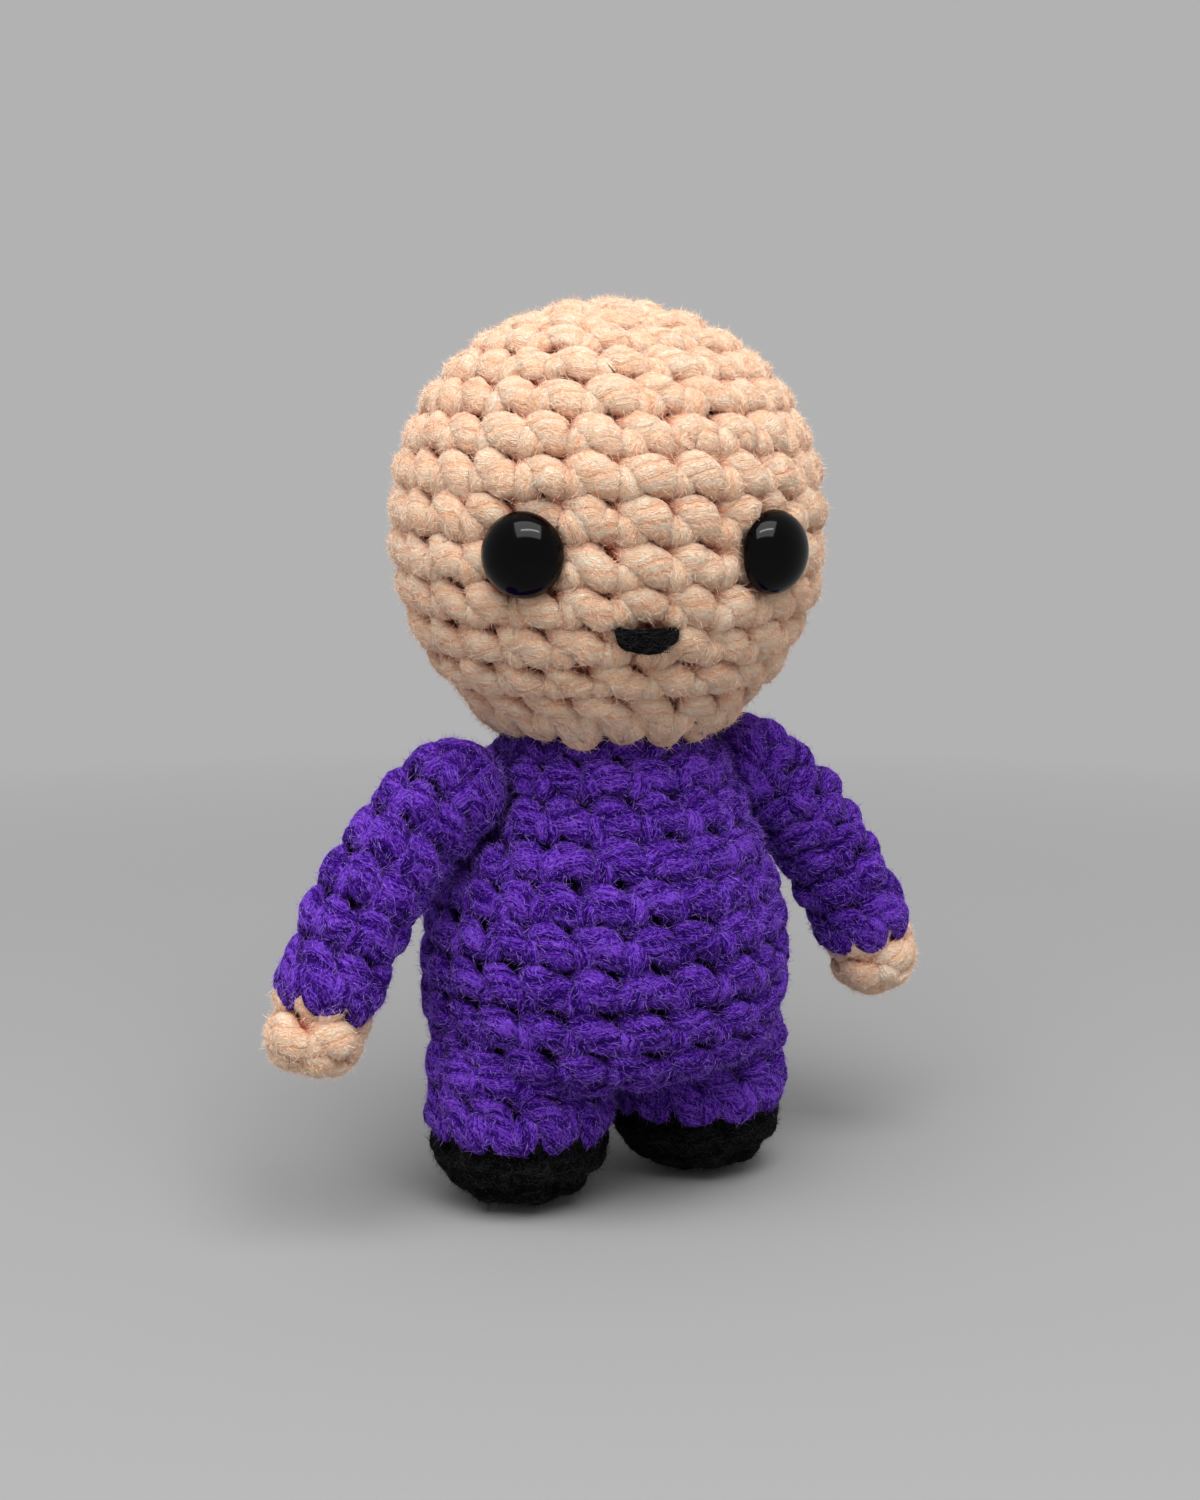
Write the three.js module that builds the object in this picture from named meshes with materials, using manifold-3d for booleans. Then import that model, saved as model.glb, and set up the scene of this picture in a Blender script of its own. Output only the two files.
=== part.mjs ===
// A small crocheted doll that stands on its own two feet: bald head with domed eyes, a
// tunic worked in one with the trouser legs, sleeves with small hands, and black shoes.
// Millimetres, +Z up, soles on Z = 0. The doll faces -Y, so its right hand is on -X.

import * as THREE from 'three';
import { mergeVertices } from 'three/addons/utils/BufferGeometryUtils.js';
import Module from 'manifold-3d';

const wasm = await Module();
wasm.setup();

// Fabric and fits
const fabric = 3.2; // thickness of the crocheted fabric
const gap = 0.3; // clearance between any two pieces
const rowHeight = 4.15; // one round of crochet, measured along the outline
const rowRelief = 1; // how far the furrow between two rounds lies below their crests
const stitchWidth = 5.1; // one stitch, measured round the form
const stitchRelief = 0.7; // how far the dip between two stitches lies below their crests
const stitchDips = 0.3; // share of a stitch that slopes down to the dip at either side
const firstStitches = 6; // in the smallest round

// Head
const headRadius = 21.6; // widest, halfway up
const headRise = 21.6; // from the widest round to the crown
const headDrop = 21.6; // from the widest round to where the chin side would close
const crownFullness = 2.1; // outline exponents: 2 is an ellipse, more is squarer
const chinFullness = 2.25;
const headLift = 19.9; // from the neck join to the widest round
const headTurn = -15; // degrees about the upright axis, towards the doll's right

// Neck
const neckHeight = 47; // from the floor to the neck join
const neckRadius = 10.3; // outside of the fabric at the join
const neckHoleRadius = 8; // opening that the drawn-in rounds leave
const neckPivotDrop = 10; // the neck bends about a point this far below the join
const neckPlugRadius = 5; // twist of fibre that passes through both openings
const neckPlugReach = 17; // from the bending point to the plug's domed end
const neckPlugRoot = 7; // from the bending point down to the plug's flat end

// Torso
const shoulderHeight = 40.5; // where the rounded shoulders run into the flanks
const bellyHeight = 23;
const bellyRadius = 20;
const bellyDepthShare = 0.87; // front to back as a share of side to side
const hemHeight = 12.5; // underside of the belly
const hemRadius = 18.6;
const hemRound = 4; // height over which the belly turns under

// Legs and shoes
const legSpacing = 20.2; // between the two leg axes
const legForward = 0.8; // leg axes in front of the doll's upright axis
const legRadius = 9.5;
const shoeWidestHeight = 6;
const shoeFullness = 2.4;
const soleCut = 0.5; // the rounded underside is pressed flat by this much
const trouserEdge = 9.4; // mean height of the colour change

// Arms
const shoulderOut = 17; // middle of the sewn arm end, from the upright axis
const shoulderUp = 41.6;
const armRootRadius = 5.6;
const sleeveRadius = 5.4;
const handRadius = 5.1;
const elbowOut = 28.4; // point that the bend of the arm is drawn towards
const elbowUp = 33.4;
const handTipOut = 33;
const handTipUp = 16;
const handTipForward = 2.4;
const handLength = 9; // from the wrist to the finger tips
const handFullness = 2.4;
const seamThickness = 3; // sewn-up end of the sleeve that faces the body

// Colour-change teeth: each stitch of one colour reaches down over the next colour
const trouserTeeth = 11;
const trouserToothHeight = 3;
const cuffTeeth = 6;
const cuffToothHeight = 2.4;

// Eyes
const eyeRadius = 3.9;
const eyeDomeHeight = 3.3;
const eyeAzimuth = 33.6; // degrees each side of the middle of the face
const eyeElevation = -5.3; // degrees above the widest round
const eyeSink = 1; // the dome's back lies this far under the fabric's crests
const stemRadius = 1.3;
const stemLength = 7;
const stemRidge = 0.25; // height of the ridges that hold the washer
const stemRidges = 3;
const washerRadius = 4.8;
const washerThickness = 1.2;
const washerBossRadius = 2.6;
const washerBossHeight = 1;

// Mouth
const mouthWidth = 5.5;
const mouthHeight = 2.3;
const mouthAzimuth = -2; // sewn by hand, a little to one side
const mouthElevation = -26;
const mouthSink = 1.1; // below the fabric's crests
const mouthProud = 0.7; // above them
const mouthRound = 0.45;

// How far the joints go, in degrees from rest: used to trim what would rub
const armLowered = 5;
const armSwing = 25;

// Fineness
const innerSides = 16;
const legSides = 20;
const armSides = 12;
const limbInnerSides = 8;
const ballSides = 20;
const neckBallSides = 32;
const domeSteps = 5;
const outlineSteps = 24; // a quarter of an outline that stitches are worked along
const innerSteps = 8;
const smallSides = 16;

const degrees = Math.PI / 180;
const axisUp = new THREE.Vector3(0, 0, 1);

// Colours
const peachYarn = { color: 0xebbf9f, roughness: 0.95, metalness: 0 };
const purpleYarn = { color: 0x5a2d99, roughness: 0.95, metalness: 0 };
const blackYarn = { color: 0x0b0b0d, roughness: 0.95, metalness: 0 };
const fibreFill = { color: 0xf0efea, roughness: 1, metalness: 0 };
const eyePlastic = { color: 0x050505, roughness: 0.12, metalness: 0 };
const washerPlastic = { color: 0xe8e8e4, roughness: 0.6, metalness: 0 };

// Solids

// A closed three.js geometry becomes a solid that can be joined and cut.
function toSolid(geometry) {
  const bare = geometry.clone();
  bare.deleteAttribute('normal');
  bare.deleteAttribute('uv');
  const merged = mergeVertices(bare, 1e-4);
  const corners = merged.index.array;
  const triangles = [];
  for (let i = 0; i < corners.length; i += 3) {
    const [a, b, c] = corners.slice(i, i + 3);
    if (a !== b && b !== c && c !== a) {
      triangles.push(a, b, c);
    }
  }
  const vertProperties = merged.attributes.position.array;
  const triVerts = new Uint32Array(triangles);
  return new wasm.Manifold(new wasm.Mesh({ numProp: 3, vertProperties, triVerts }));
}

function toGeometry(solid) {
  const { vertProperties, triVerts } = solid.getMesh();
  const geometry = new THREE.BufferGeometry();
  geometry.setAttribute('position', new THREE.BufferAttribute(vertProperties, 3));
  geometry.setIndex(new THREE.BufferAttribute(triVerts, 1));
  geometry.computeVertexNormals();
  return geometry;
}

// An outline of [radius, height] points, from the bottom up, turned about the Z axis.
function turned(outline, sides) {
  const points = outline.map(([radius, height]) => new THREE.Vector2(radius, height));
  return new THREE.LatheGeometry(points, sides).rotateX(Math.PI / 2);
}

function ball(radius, centre, sides = ballSides) {
  const sphere = new THREE.SphereGeometry(radius, sides, sides / 2).rotateX(Math.PI / 2);
  return toSolid(sphere.translate(centre.x, centre.y, centre.z));
}

function drum(radius, bottom, top, x = 0) {
  const outline = [[0, bottom], [radius, bottom], [radius, top], [0, top]];
  return toSolid(turned(outline, innerSides).translate(x, 0, 0));
}

// A geometry drawn about +Z is carried to a place on the head or an arm.
function carried(geometry, place, direction) {
  const turn = new THREE.Quaternion().setFromUnitVectors(axisUp, direction);
  return geometry.applyQuaternion(turn).translate(place.x, place.y, place.z);
}

// Teeth: everything below a toothed surface at height 0, down to the given depth.
// The teeth hang down, broad and round, with a narrow notch between each two.
function toothedBlock({ radius, depth, teeth, toothHeight }) {
  const toothShape = [[0, 0.5], [0.1, 0.2], [0.22, -0.5], [0.78, -0.5], [0.9, 0.2]];
  const rim = [];
  for (let tooth = 0; tooth < teeth; tooth += 1) {
    for (const [share, height] of toothShape) {
      const angle = (2 * Math.PI * (tooth + share)) / teeth;
      rim.push([angle, height * toothHeight]);
    }
  }
  const count = rim.length;
  const positions = [0, 0, 0, 0, 0, -depth];
  for (const [angle, height] of rim) {
    positions.push(radius * Math.cos(angle), radius * Math.sin(angle), height);
  }
  for (const [angle] of rim) {
    positions.push(radius * Math.cos(angle), radius * Math.sin(angle), -depth);
  }
  const faces = [];
  for (let i = 0; i < count; i += 1) {
    const next = (i + 1) % count;
    const top = 2 + i;
    const topNext = 2 + next;
    const low = 2 + count + i;
    const lowNext = 2 + count + next;
    faces.push(0, top, topNext, 1, lowNext, low);
    faces.push(top, low, lowNext, top, lowNext, topNext);
  }
  const geometry = new THREE.BufferGeometry();
  geometry.setAttribute('position', new THREE.Float32BufferAttribute(positions, 3));
  geometry.setIndex(faces);
  return geometry;
}

// Crochet worked in rounds along an outline, with more stitches where the form is wider.
// Each stitch stands out from the furrows below and above it and from the dips beside it,
// and rounds lie half a stitch apart.
function crocheted(outline) {
  const line = new THREE.Path(outline.map(([radius, height]) => new THREE.Vector2(radius, height)));
  const rounds = Math.round(line.getLength() / rowHeight);
  const bottom = outline[0];
  const top = outline[outline.length - 1];
  const crest = [[0, stitchRelief], [stitchDips, 0], [1 - stitchDips, 0]];
  const furrow = [[0, rowRelief]];
  const positions = [0, 0, bottom[1]];
  const rings = [[{ corner: 0, turn: 0 }]];
  for (let i = 1; i < 2 * rounds; i += 1) {
    const share = i / (2 * rounds);
    const spot = line.getPoint(share);
    const slope = line.getTangent(share);
    const around = (2 * Math.PI * spot.x) / stitchWidth;
    const stitches = Math.max(Math.round(around), firstStitches);
    const offset = i % 4 > 1 ? 1 / 2 : 0;
    const ring = [];
    for (let stitch = 0; stitch < stitches; stitch += 1) {
      for (const [place, depth] of i % 2 === 1 ? crest : furrow) {
        const turn = (stitch + place + offset) / stitches;
        const angle = 2 * Math.PI * (turn + 1 / 4);
        const radius = Math.max(spot.x - depth * slope.y, 0);
        ring.push({ corner: positions.length / 3, turn });
        const height = spot.y + depth * slope.x;
        positions.push(radius * Math.cos(angle), radius * Math.sin(angle), height);
      }
    }
    rings.push(ring);
  }
  rings.push([{ corner: positions.length / 3, turn: 0 }]);
  positions.push(0, 0, top[1]);
  const faces = [];
  for (let i = 1; i < rings.length; i += 1) {
    faces.push(...bandBetween(rings[i - 1], rings[i]));
  }
  const geometry = new THREE.BufferGeometry();
  geometry.setAttribute('position', new THREE.Float32BufferAttribute(positions, 3));
  geometry.setIndex(faces);
  return geometry;
}

// Triangles between two rings that may differ in their number of points.
function bandBetween(low, high) {
  const faces = [];
  const lowClosed = [...low, { corner: low[0].corner, turn: low[0].turn + 1 }];
  const highClosed = [...high, { corner: high[0].corner, turn: high[0].turn + 1 }];
  let i = 0;
  let j = 0;
  while (i < low.length || j < high.length) {
    const from = lowClosed[i];
    const over = highClosed[j];
    const lowIsNext = i < low.length
      && (j === high.length || lowClosed[i + 1].turn <= highClosed[j + 1].turn);
    if (lowIsNext) {
      i += 1;
      faces.push(from.corner, lowClosed[i].corner, over.corner);
    } else {
      j += 1;
      faces.push(from.corner, highClosed[j].corner, over.corner);
    }
  }
  return faces;
}

// Head outline

// A quarter of a rounded outline: share runs from 0 at the widest round to 1 at the pole.
function quarter(radius, height, fullness, share) {
  const angle = (share * Math.PI) / 2;
  const across = radius * Math.cos(angle) ** (2 / fullness);
  const along = height * Math.sin(angle) ** (2 / fullness);
  return [across, along];
}

const widestHeight = neckHeight + headLift;

function headOutline(inset, steps) {
  const outline = [[0, widestHeight - headDrop + inset]];
  for (let i = steps - 1; i > 0; i -= 1) {
    const [r, h] = quarter(headRadius - inset, headDrop - inset, chinFullness, i / steps);
    outline.push([r, widestHeight - h]);
  }
  for (let i = 0; i < steps; i += 1) {
    const [r, h] = quarter(headRadius - inset, headRise - inset, crownFullness, i / steps);
    outline.push([r, widestHeight + h]);
  }
  outline.push([0, widestHeight + headRise - inset]);
  return outline;
}

function headInside(inset) {
  return toSolid(turned(headOutline(inset, innerSteps), innerSides));
}

// A point on the head's crests and the direction that it faces.
function onHead(azimuth, elevation) {
  const rises = elevation > 0;
  const height = rises ? headRise : headDrop;
  const fullness = rises ? crownFullness : chinFullness;
  const steep = Math.tan(Math.abs(elevation) * degrees);
  let share = 0;
  let step = 0.5;
  for (let i = 0; i < 30; i += 1) {
    const [r, h] = quarter(headRadius, height, fullness, share + step);
    share += h < r * steep ? step : 0;
    step /= 2;
  }
  const [across, along] = quarter(headRadius, height, fullness, share);
  const [laterAcross, laterAlong] = quarter(headRadius, height, fullness, share + 0.01);
  const sign = rises ? 1 : -1;
  const face = new THREE.Vector2(laterAlong - along, across - laterAcross).normalize();
  const out = new THREE.Vector3(Math.sin(azimuth * degrees), -Math.cos(azimuth * degrees), 0);
  const place = out.clone().multiplyScalar(across);
  place.z = widestHeight + sign * along;
  const direction = out.multiplyScalar(face.x);
  direction.z = sign * face.y;
  return { place, direction: direction.normalize() };
}

// Neck: head and body meet on a ball about the point where the soft neck bends.
const neckPivot = new THREE.Vector3(0, 0, neckHeight - neckPivotDrop);
const neckBall = Math.hypot(neckRadius, neckPivotDrop);

// Torso outline

function torsoRadius(height) {
  const shoulderRadius = Math.sqrt(neckBall ** 2 - (shoulderHeight - neckPivot.z) ** 2);
  if (height > shoulderHeight) {
    return Math.sqrt(Math.max(neckBall ** 2 - (height - neckPivot.z) ** 2, 0));
  }
  if (height > bellyHeight) {
    const share = (shoulderHeight - height) / (shoulderHeight - bellyHeight);
    return shoulderRadius + (bellyRadius - shoulderRadius) * Math.sin((share * Math.PI) / 2);
  }
  const share = (bellyHeight - height) / (bellyHeight - hemHeight);
  const flank = bellyRadius + (hemRadius - bellyRadius) * share;
  const turn = Math.max(1 - (height - hemHeight) / hemRound, 0);
  return flank - hemRound * (1 - Math.sqrt(1 - turn ** 2));
}

// The torso is round at the neck and oval at the belly.
function torsoDepthShare(height) {
  const share = THREE.MathUtils.smoothstep(height, bellyHeight, shoulderHeight);
  return THREE.MathUtils.lerp(bellyDepthShare, 1, share);
}

function torsoOutline(inset, steps) {
  const bottom = hemHeight + inset;
  const top = neckPivot.z + neckBall - inset;
  const outline = [[0, bottom]];
  for (let i = 0; i <= steps; i += 1) {
    const height = THREE.MathUtils.lerp(bottom, neckHeight - inset, i / steps);
    outline.push([torsoRadius(Math.max(height, hemHeight)) - inset, height]);
  }
  for (let i = 1; i < domeSteps; i += 1) {
    const height = THREE.MathUtils.lerp(neckHeight - inset, top, i / domeSteps);
    const reach = neckBall - inset;
    outline.push([Math.sqrt(reach ** 2 - (height - neckPivot.z) ** 2), height]);
  }
  outline.push([0, top]);
  return outline;
}

// Worked in rounds outside, and plain inside or as a clearance round it.
function torsoForm(inset) {
  const geometry = inset === 0
    ? crocheted(torsoOutline(0, outlineSteps))
    : turned(torsoOutline(inset, innerSteps), innerSides);
  const places = geometry.attributes.position;
  for (let i = 0; i < places.count; i += 1) {
    places.setY(i, places.getY(i) * torsoDepthShare(places.getZ(i)));
  }
  return toSolid(geometry);
}

// Legs with their shoes

function legForm(side, inset, sides) {
  const height = shoeWidestHeight + soleCut;
  const outline = [[0, inset - soleCut]];
  for (let i = domeSteps - 1; i >= 0; i -= 1) {
    const [r, h] = quarter(legRadius - inset, height - inset, shoeFullness, i / domeSteps);
    outline.push([r, shoeWidestHeight - h]);
  }
  const top = hemHeight + fabric + hemRound;
  outline.push([legRadius - inset, top], [0, top]);
  return toSolid(turned(outline, sides).translate((side * legSpacing) / 2, -legForward, 0));
}

function trouserTeethBlock(side, drop) {
  const block = toothedBlock({
    radius: legSpacing / 2 + gap,
    depth: 2 * trouserEdge,
    teeth: trouserTeeth,
    toothHeight: trouserToothHeight,
  });
  return toSolid(block.translate((side * legSpacing) / 2, -legForward, trouserEdge - drop));
}

const bothSides = [['right', -1], ['left', 1]];

// Arms

// The seam's flat face, from the shoulder's middle towards the body.
const seamPlane = armRootRadius - seamThickness;

function shoulderAt(side) {
  return new THREE.Vector3(side * shoulderOut, 0, shoulderUp);
}

function armCurve(side) {
  const elbow = new THREE.Vector3(side * elbowOut, -handTipForward / 4, elbowUp);
  const tip = new THREE.Vector3(side * handTipOut, -handTipForward, handTipUp);
  return new THREE.QuadraticBezierCurve3(shoulderAt(side), elbow, tip);
}

// A closed tube along the arm, from the shoulder's middle to the finger tips.
function armTube(side, inset, sides) {
  const curve = armCurve(side);
  const length = curve.getLength();
  const reach = length - inset;
  const wrist = length - handLength;
  const bulge = wrist + handLength / 2;
  const relief = inset === 0 ? rowRelief : 0;
  const stations = [];
  const armSteps = Math.round(bulge / rowHeight) * (inset === 0 ? 2 : 1);
  for (let i = 0; i <= armSteps; i += 1) {
    const along = (bulge * i) / armSteps;
    const share = THREE.MathUtils.smoothstep(along, 0, wrist);
    const taper = THREE.MathUtils.lerp(armRootRadius, sleeveRadius, share);
    const radius = along > wrist ? handRadius : taper;
    stations.push([along, radius - inset - (i % 2) * relief]);
  }
  for (let i = 1; i < domeSteps; i += 1) {
    const [r, h] = quarter(handRadius - inset, reach - bulge, handFullness, i / domeSteps);
    stations.push([bulge + h, r]);
  }
  const positions = [];
  const across = new THREE.Vector3();
  const over = new THREE.Vector3();
  for (const [along, radius] of stations) {
    const centre = curve.getPointAt(along / length);
    const tangent = curve.getTangentAt(along / length);
    across.set(0, -1, 0).addScaledVector(tangent, tangent.y).normalize();
    over.crossVectors(tangent, across);
    for (let k = 0; k < sides; k += 1) {
      const angle = (2 * Math.PI * k) / sides;
      const rim = centre.clone().addScaledVector(across, radius * Math.cos(angle));
      rim.addScaledVector(over, radius * Math.sin(angle));
      positions.push(...rim);
    }
  }
  const start = positions.length / 3;
  positions.push(...curve.getPointAt(0), ...curve.getPointAt(reach / length));
  const faces = [];
  const last = (stations.length - 1) * sides;
  for (let k = 0; k < sides; k += 1) {
    const next = (k + 1) % sides;
    faces.push(start, next, k, start + 1, last + k, last + next);
    for (let ring = 0; ring < last; ring += sides) {
      faces.push(ring + k, ring + next, ring + sides + next);
      faces.push(ring + k, ring + sides + next, ring + sides + k);
    }
  }
  const geometry = new THREE.BufferGeometry();
  geometry.setAttribute('position', new THREE.Float32BufferAttribute(positions, 3));
  geometry.setIndex(faces);
  return toSolid(geometry);
}

// The half space towards the body, from a plane square to X near the shoulder's middle.
function bodySideBlock(side, offset) {
  const size = 4 * shoulderOut;
  const block = new THREE.BoxGeometry(size, size, size);
  const shoulder = shoulderAt(side);
  const x = shoulder.x - side * (offset + size / 2);
  return toSolid(block.translate(x, shoulder.y, shoulder.z));
}

function cuffTeethBlock(side, drop) {
  const curve = armCurve(side);
  const length = curve.getLength();
  const share = (length - handLength) / length;
  const tangent = curve.getTangentAt(share);
  const block = toothedBlock({
    radius: 1.5 * armRootRadius,
    depth: 2 * handLength,
    teeth: cuffTeeth,
    toothHeight: cuffToothHeight,
  });
  const place = curve.getPointAt(share).addScaledVector(tangent, drop);
  return toSolid(carried(block, place, tangent.clone().negate()));
}

// The body as an arm meets it when it is lowered or swung, with the shoulder's hollow.
function bodyKeepOut(side, lowered, swung) {
  const shoulder = shoulderAt(side);
  const hollow = ball(armRootRadius + gap, shoulder);
  const body = toGeometry(torsoForm(-gap).subtract(hollow));
  const turn = new THREE.Matrix4().makeRotationX(-swung * degrees);
  turn.multiply(new THREE.Matrix4().makeRotationY(side * -lowered * degrees));
  const matrix = new THREE.Matrix4().makeTranslation(shoulder.x, shoulder.y, shoulder.z);
  matrix.multiply(turn);
  matrix.multiply(new THREE.Matrix4().makeTranslation(-shoulder.x, -shoulder.y, -shoulder.z));
  return toSolid(body.applyMatrix4(matrix));
}

// Assembly

const doll = new THREE.Group();
const head = new THREE.Group();
head.rotation.z = headTurn * degrees;
doll.add(head);

function addPiece(parent, name, solid, finish) {
  const geometry = solid.isBufferGeometry ? solid : toGeometry(solid);
  const mesh = new THREE.Mesh(geometry, new THREE.MeshStandardMaterial(finish));
  mesh.name = name;
  parent.add(mesh);
}

// Eyes

// Domed button on a ridged stem, drawn about +Z with the dome's flat back at height 0.
function eyeGeometry() {
  const outline = [[0, -stemLength], [stemRadius - stemRidge, -stemLength]];
  const ridged = stemLength - fabric;
  for (let i = 0; i < stemRidges; i += 1) {
    const start = -stemLength + (ridged * (i + 0.5)) / stemRidges;
    outline.push([stemRadius - stemRidge, start]);
    outline.push([stemRadius, start + ridged / stemRidges / 2]);
  }
  outline.push([stemRadius, 0], [eyeRadius - gap, 0]);
  for (let i = 0; i < domeSteps; i += 1) {
    const [r, h] = quarter(eyeRadius, eyeDomeHeight - gap, 2, i / domeSteps);
    outline.push([r, gap + h]);
  }
  outline.push([0, eyeDomeHeight]);
  return turned(outline, smallSides);
}

// Lock washer, drawn about +Z with its broad face at height 0 and its boss below.
function washerGeometry() {
  const hole = stemRadius + gap;
  const boss = -washerThickness - washerBossHeight;
  return turned([
    [hole, boss],
    [washerBossRadius, boss],
    [washerBossRadius, -washerThickness],
    [washerRadius, -washerThickness],
    [washerRadius, 0],
    [hole, 0],
    [hole, boss],
  ], smallSides);
}

const innerHeadRadius = headRadius - fabric;
const washerDepth =
  headRadius - Math.sqrt(innerHeadRadius ** 2 - washerRadius ** 2) + gap;

// Mouth: a half moon with a level upper edge, sewn over with a few strands.

function halfMoon(extra) {
  const half = mouthWidth / 2 + extra;
  const shape = new THREE.Shape();
  shape.moveTo(-half, extra);
  shape.absellipse(0, extra, half, mouthHeight + 2 * extra, Math.PI, 2 * Math.PI, false, 0);
  shape.closePath();
  return shape;
}

// Drawn about +Z; its upper edge looks up the head once it is carried there.
function mouthGeometry(extra, back, front, round) {
  const geometry = new THREE.ExtrudeGeometry(halfMoon(extra - round), {
    depth: front - back - 2 * round,
    bevelEnabled: round > 0,
    bevelThickness: round,
    bevelSize: round,
    bevelSegments: 2,
    curveSegments: 12,
  });
  return geometry.translate(0, mouthHeight / 2, back + round);
}

function atMouth(geometry) {
  const { place, direction } = onHead(mouthAzimuth, mouthElevation);
  const level = new THREE.Vector3().crossVectors(axisUp, direction).normalize();
  const upward = new THREE.Vector3().crossVectors(direction, level);
  const matrix = new THREE.Matrix4().makeBasis(level, upward, direction);
  return geometry.applyMatrix4(matrix.setPosition(place));
}

// Head pieces

let headCover = toSolid(crocheted(headOutline(0, outlineSteps)))
  .subtract(headInside(fabric))
  .subtract(drum(neckHoleRadius, neckPivot.z, widestHeight))
  .subtract(ball(neckBall + gap, neckPivot, neckBallSides));
let headStuffing = headInside(fabric + gap)
  .subtract(ball(neckPlugReach + gap, neckPivot));

for (const [name, side] of bothSides) {
  const { place, direction } = onHead(side * eyeAzimuth, eyeElevation);
  const back = place.clone().addScaledVector(direction, -eyeSink);
  const washerFace = place.clone().addScaledVector(direction, -washerDepth);
  const seat = turned([
    [0, -gap],
    [eyeRadius + gap, -gap],
    [eyeRadius + gap, eyeDomeHeight],
    [0, eyeDomeHeight],
  ], smallSides);
  const hole = turned([
    [0, -stemLength - gap],
    [stemRadius + gap, -stemLength - gap],
    [stemRadius + gap, 0],
    [0, 0],
  ], smallSides);
  const recess = turned([
    [0, eyeSink - stemLength - fabric],
    [washerRadius + gap, eyeSink - stemLength - fabric],
    [washerRadius + gap, fabric],
    [0, fabric],
  ], smallSides);
  headCover = headCover.subtract(toSolid(carried(seat, back, direction)));
  headCover = headCover.subtract(toSolid(carried(hole, back, direction)));
  headStuffing = headStuffing.subtract(toSolid(carried(recess, washerFace, direction)));
  addPiece(head, `${name}_eye`, toSolid(carried(eyeGeometry(), back, direction)), eyePlastic);
  const washer = toSolid(carried(washerGeometry(), washerFace, direction));
  addPiece(head, `${name}_eye_washer`, washer, washerPlastic);
}

const mouthBed = mouthGeometry(gap, -mouthSink - gap, mouthProud + fabric, 0);
headCover = headCover.subtract(toSolid(atMouth(mouthBed)));
const mouth = toSolid(atMouth(mouthGeometry(0, -mouthSink, mouthProud, mouthRound)));
addPiece(head, 'mouth', mouth, blackYarn);
addPiece(head, 'head_cover', headCover, peachYarn);
addPiece(head, 'head_stuffing', headStuffing, fibreFill);

// Neck plug

const plugRoot = neckPivot.z - neckPlugRoot;
const plugOutline = [[0, plugRoot], [neckPlugRadius, plugRoot]];
const plugEdge = Math.asin(neckPlugRadius / neckPlugReach);
for (let i = 0; i < domeSteps; i += 1) {
  const angle = plugEdge * (1 - i / domeSteps);
  const height = neckPivot.z + neckPlugReach * Math.cos(angle);
  plugOutline.push([neckPlugReach * Math.sin(angle), height]);
}
plugOutline.push([0, neckPivot.z + neckPlugReach]);
addPiece(doll, 'neck_stuffing', toSolid(turned(plugOutline, innerSides)), fibreFill);

// Body, legs and shoes

let bodyOutside = torsoForm(0);
let bodyHollow = torsoForm(fabric)
  .add(drum(neckHoleRadius, neckPivot.z, widestHeight));
const shoes = [];
for (const [name, side] of bothSides) {
  const leg = legForm(side, 0, legSides);
  const hollow = legForm(side, fabric, limbInnerSides);
  const ground = new THREE.BoxGeometry(legSpacing, legSpacing, legSpacing);
  ground.translate((side * legSpacing) / 2, -legForward, -legSpacing / 2);
  bodyOutside = bodyOutside.add(leg.subtract(trouserTeethBlock(side, 0)));
  bodyHollow = bodyHollow.add(hollow);
  const shoe = leg.intersect(trouserTeethBlock(side, gap)).subtract(toSolid(ground));
  shoes.push([`${name}_shoe`, shoe.subtract(hollow)]);
  const roll = legForm(side, fabric + gap, limbInnerSides);
  const bellyStuffing = hemHeight + fabric + gap;
  const above = drum(legRadius, bellyStuffing - gap, 2 * neckHeight, (side * legSpacing) / 2);
  addPiece(doll, `${name}_leg_stuffing`, roll.subtract(above), fibreFill);
}
let bodyCover = bodyOutside.subtract(bodyHollow);
for (const [, side] of bothSides) {
  bodyCover = bodyCover.subtract(ball(armRootRadius + gap, shoulderAt(side)));
}
addPiece(doll, 'body_cover', bodyCover, purpleYarn);
for (const [name, shoe] of shoes) {
  addPiece(doll, name, shoe, blackYarn);
}
const plugSocket = drum(neckPlugRadius + gap, plugRoot - gap, widestHeight);
const bodyStuffing = torsoForm(fabric + gap).subtract(plugSocket);
addPiece(doll, 'body_stuffing', bodyStuffing, fibreFill);

// Arm pieces

for (const [name, side] of bothSides) {
  const shoulder = shoulderAt(side);
  const rootBall = ball(armRootRadius, shoulder, armSides);
  const bodySide = bodySideBlock(side, seamPlane);
  const bodySideFarther = bodySideBlock(side, seamPlane - gap);
  const outside = armTube(side, 0, armSides).add(rootBall);
  const hollow = armTube(side, fabric, limbInnerSides);
  let sleeve = outside.subtract(bodySideFarther).subtract(cuffTeethBlock(side, 0));
  for (const swung of [-armSwing, 0, armSwing]) {
    sleeve = sleeve.subtract(bodyKeepOut(side, armLowered, swung));
  }
  const hand = outside.intersect(cuffTeethBlock(side, gap)).subtract(hollow);
  const stuffing = armTube(side, fabric + gap, limbInnerSides).subtract(bodySideFarther);
  addPiece(doll, `${name}_arm_seam`, rootBall.intersect(bodySide), purpleYarn);
  addPiece(doll, `${name}_sleeve`, sleeve.subtract(hollow), purpleYarn);
  addPiece(doll, `${name}_hand`, hand, peachYarn);
  addPiece(doll, `${name}_arm_stuffing`, stuffing, fibreFill);
}

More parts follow.
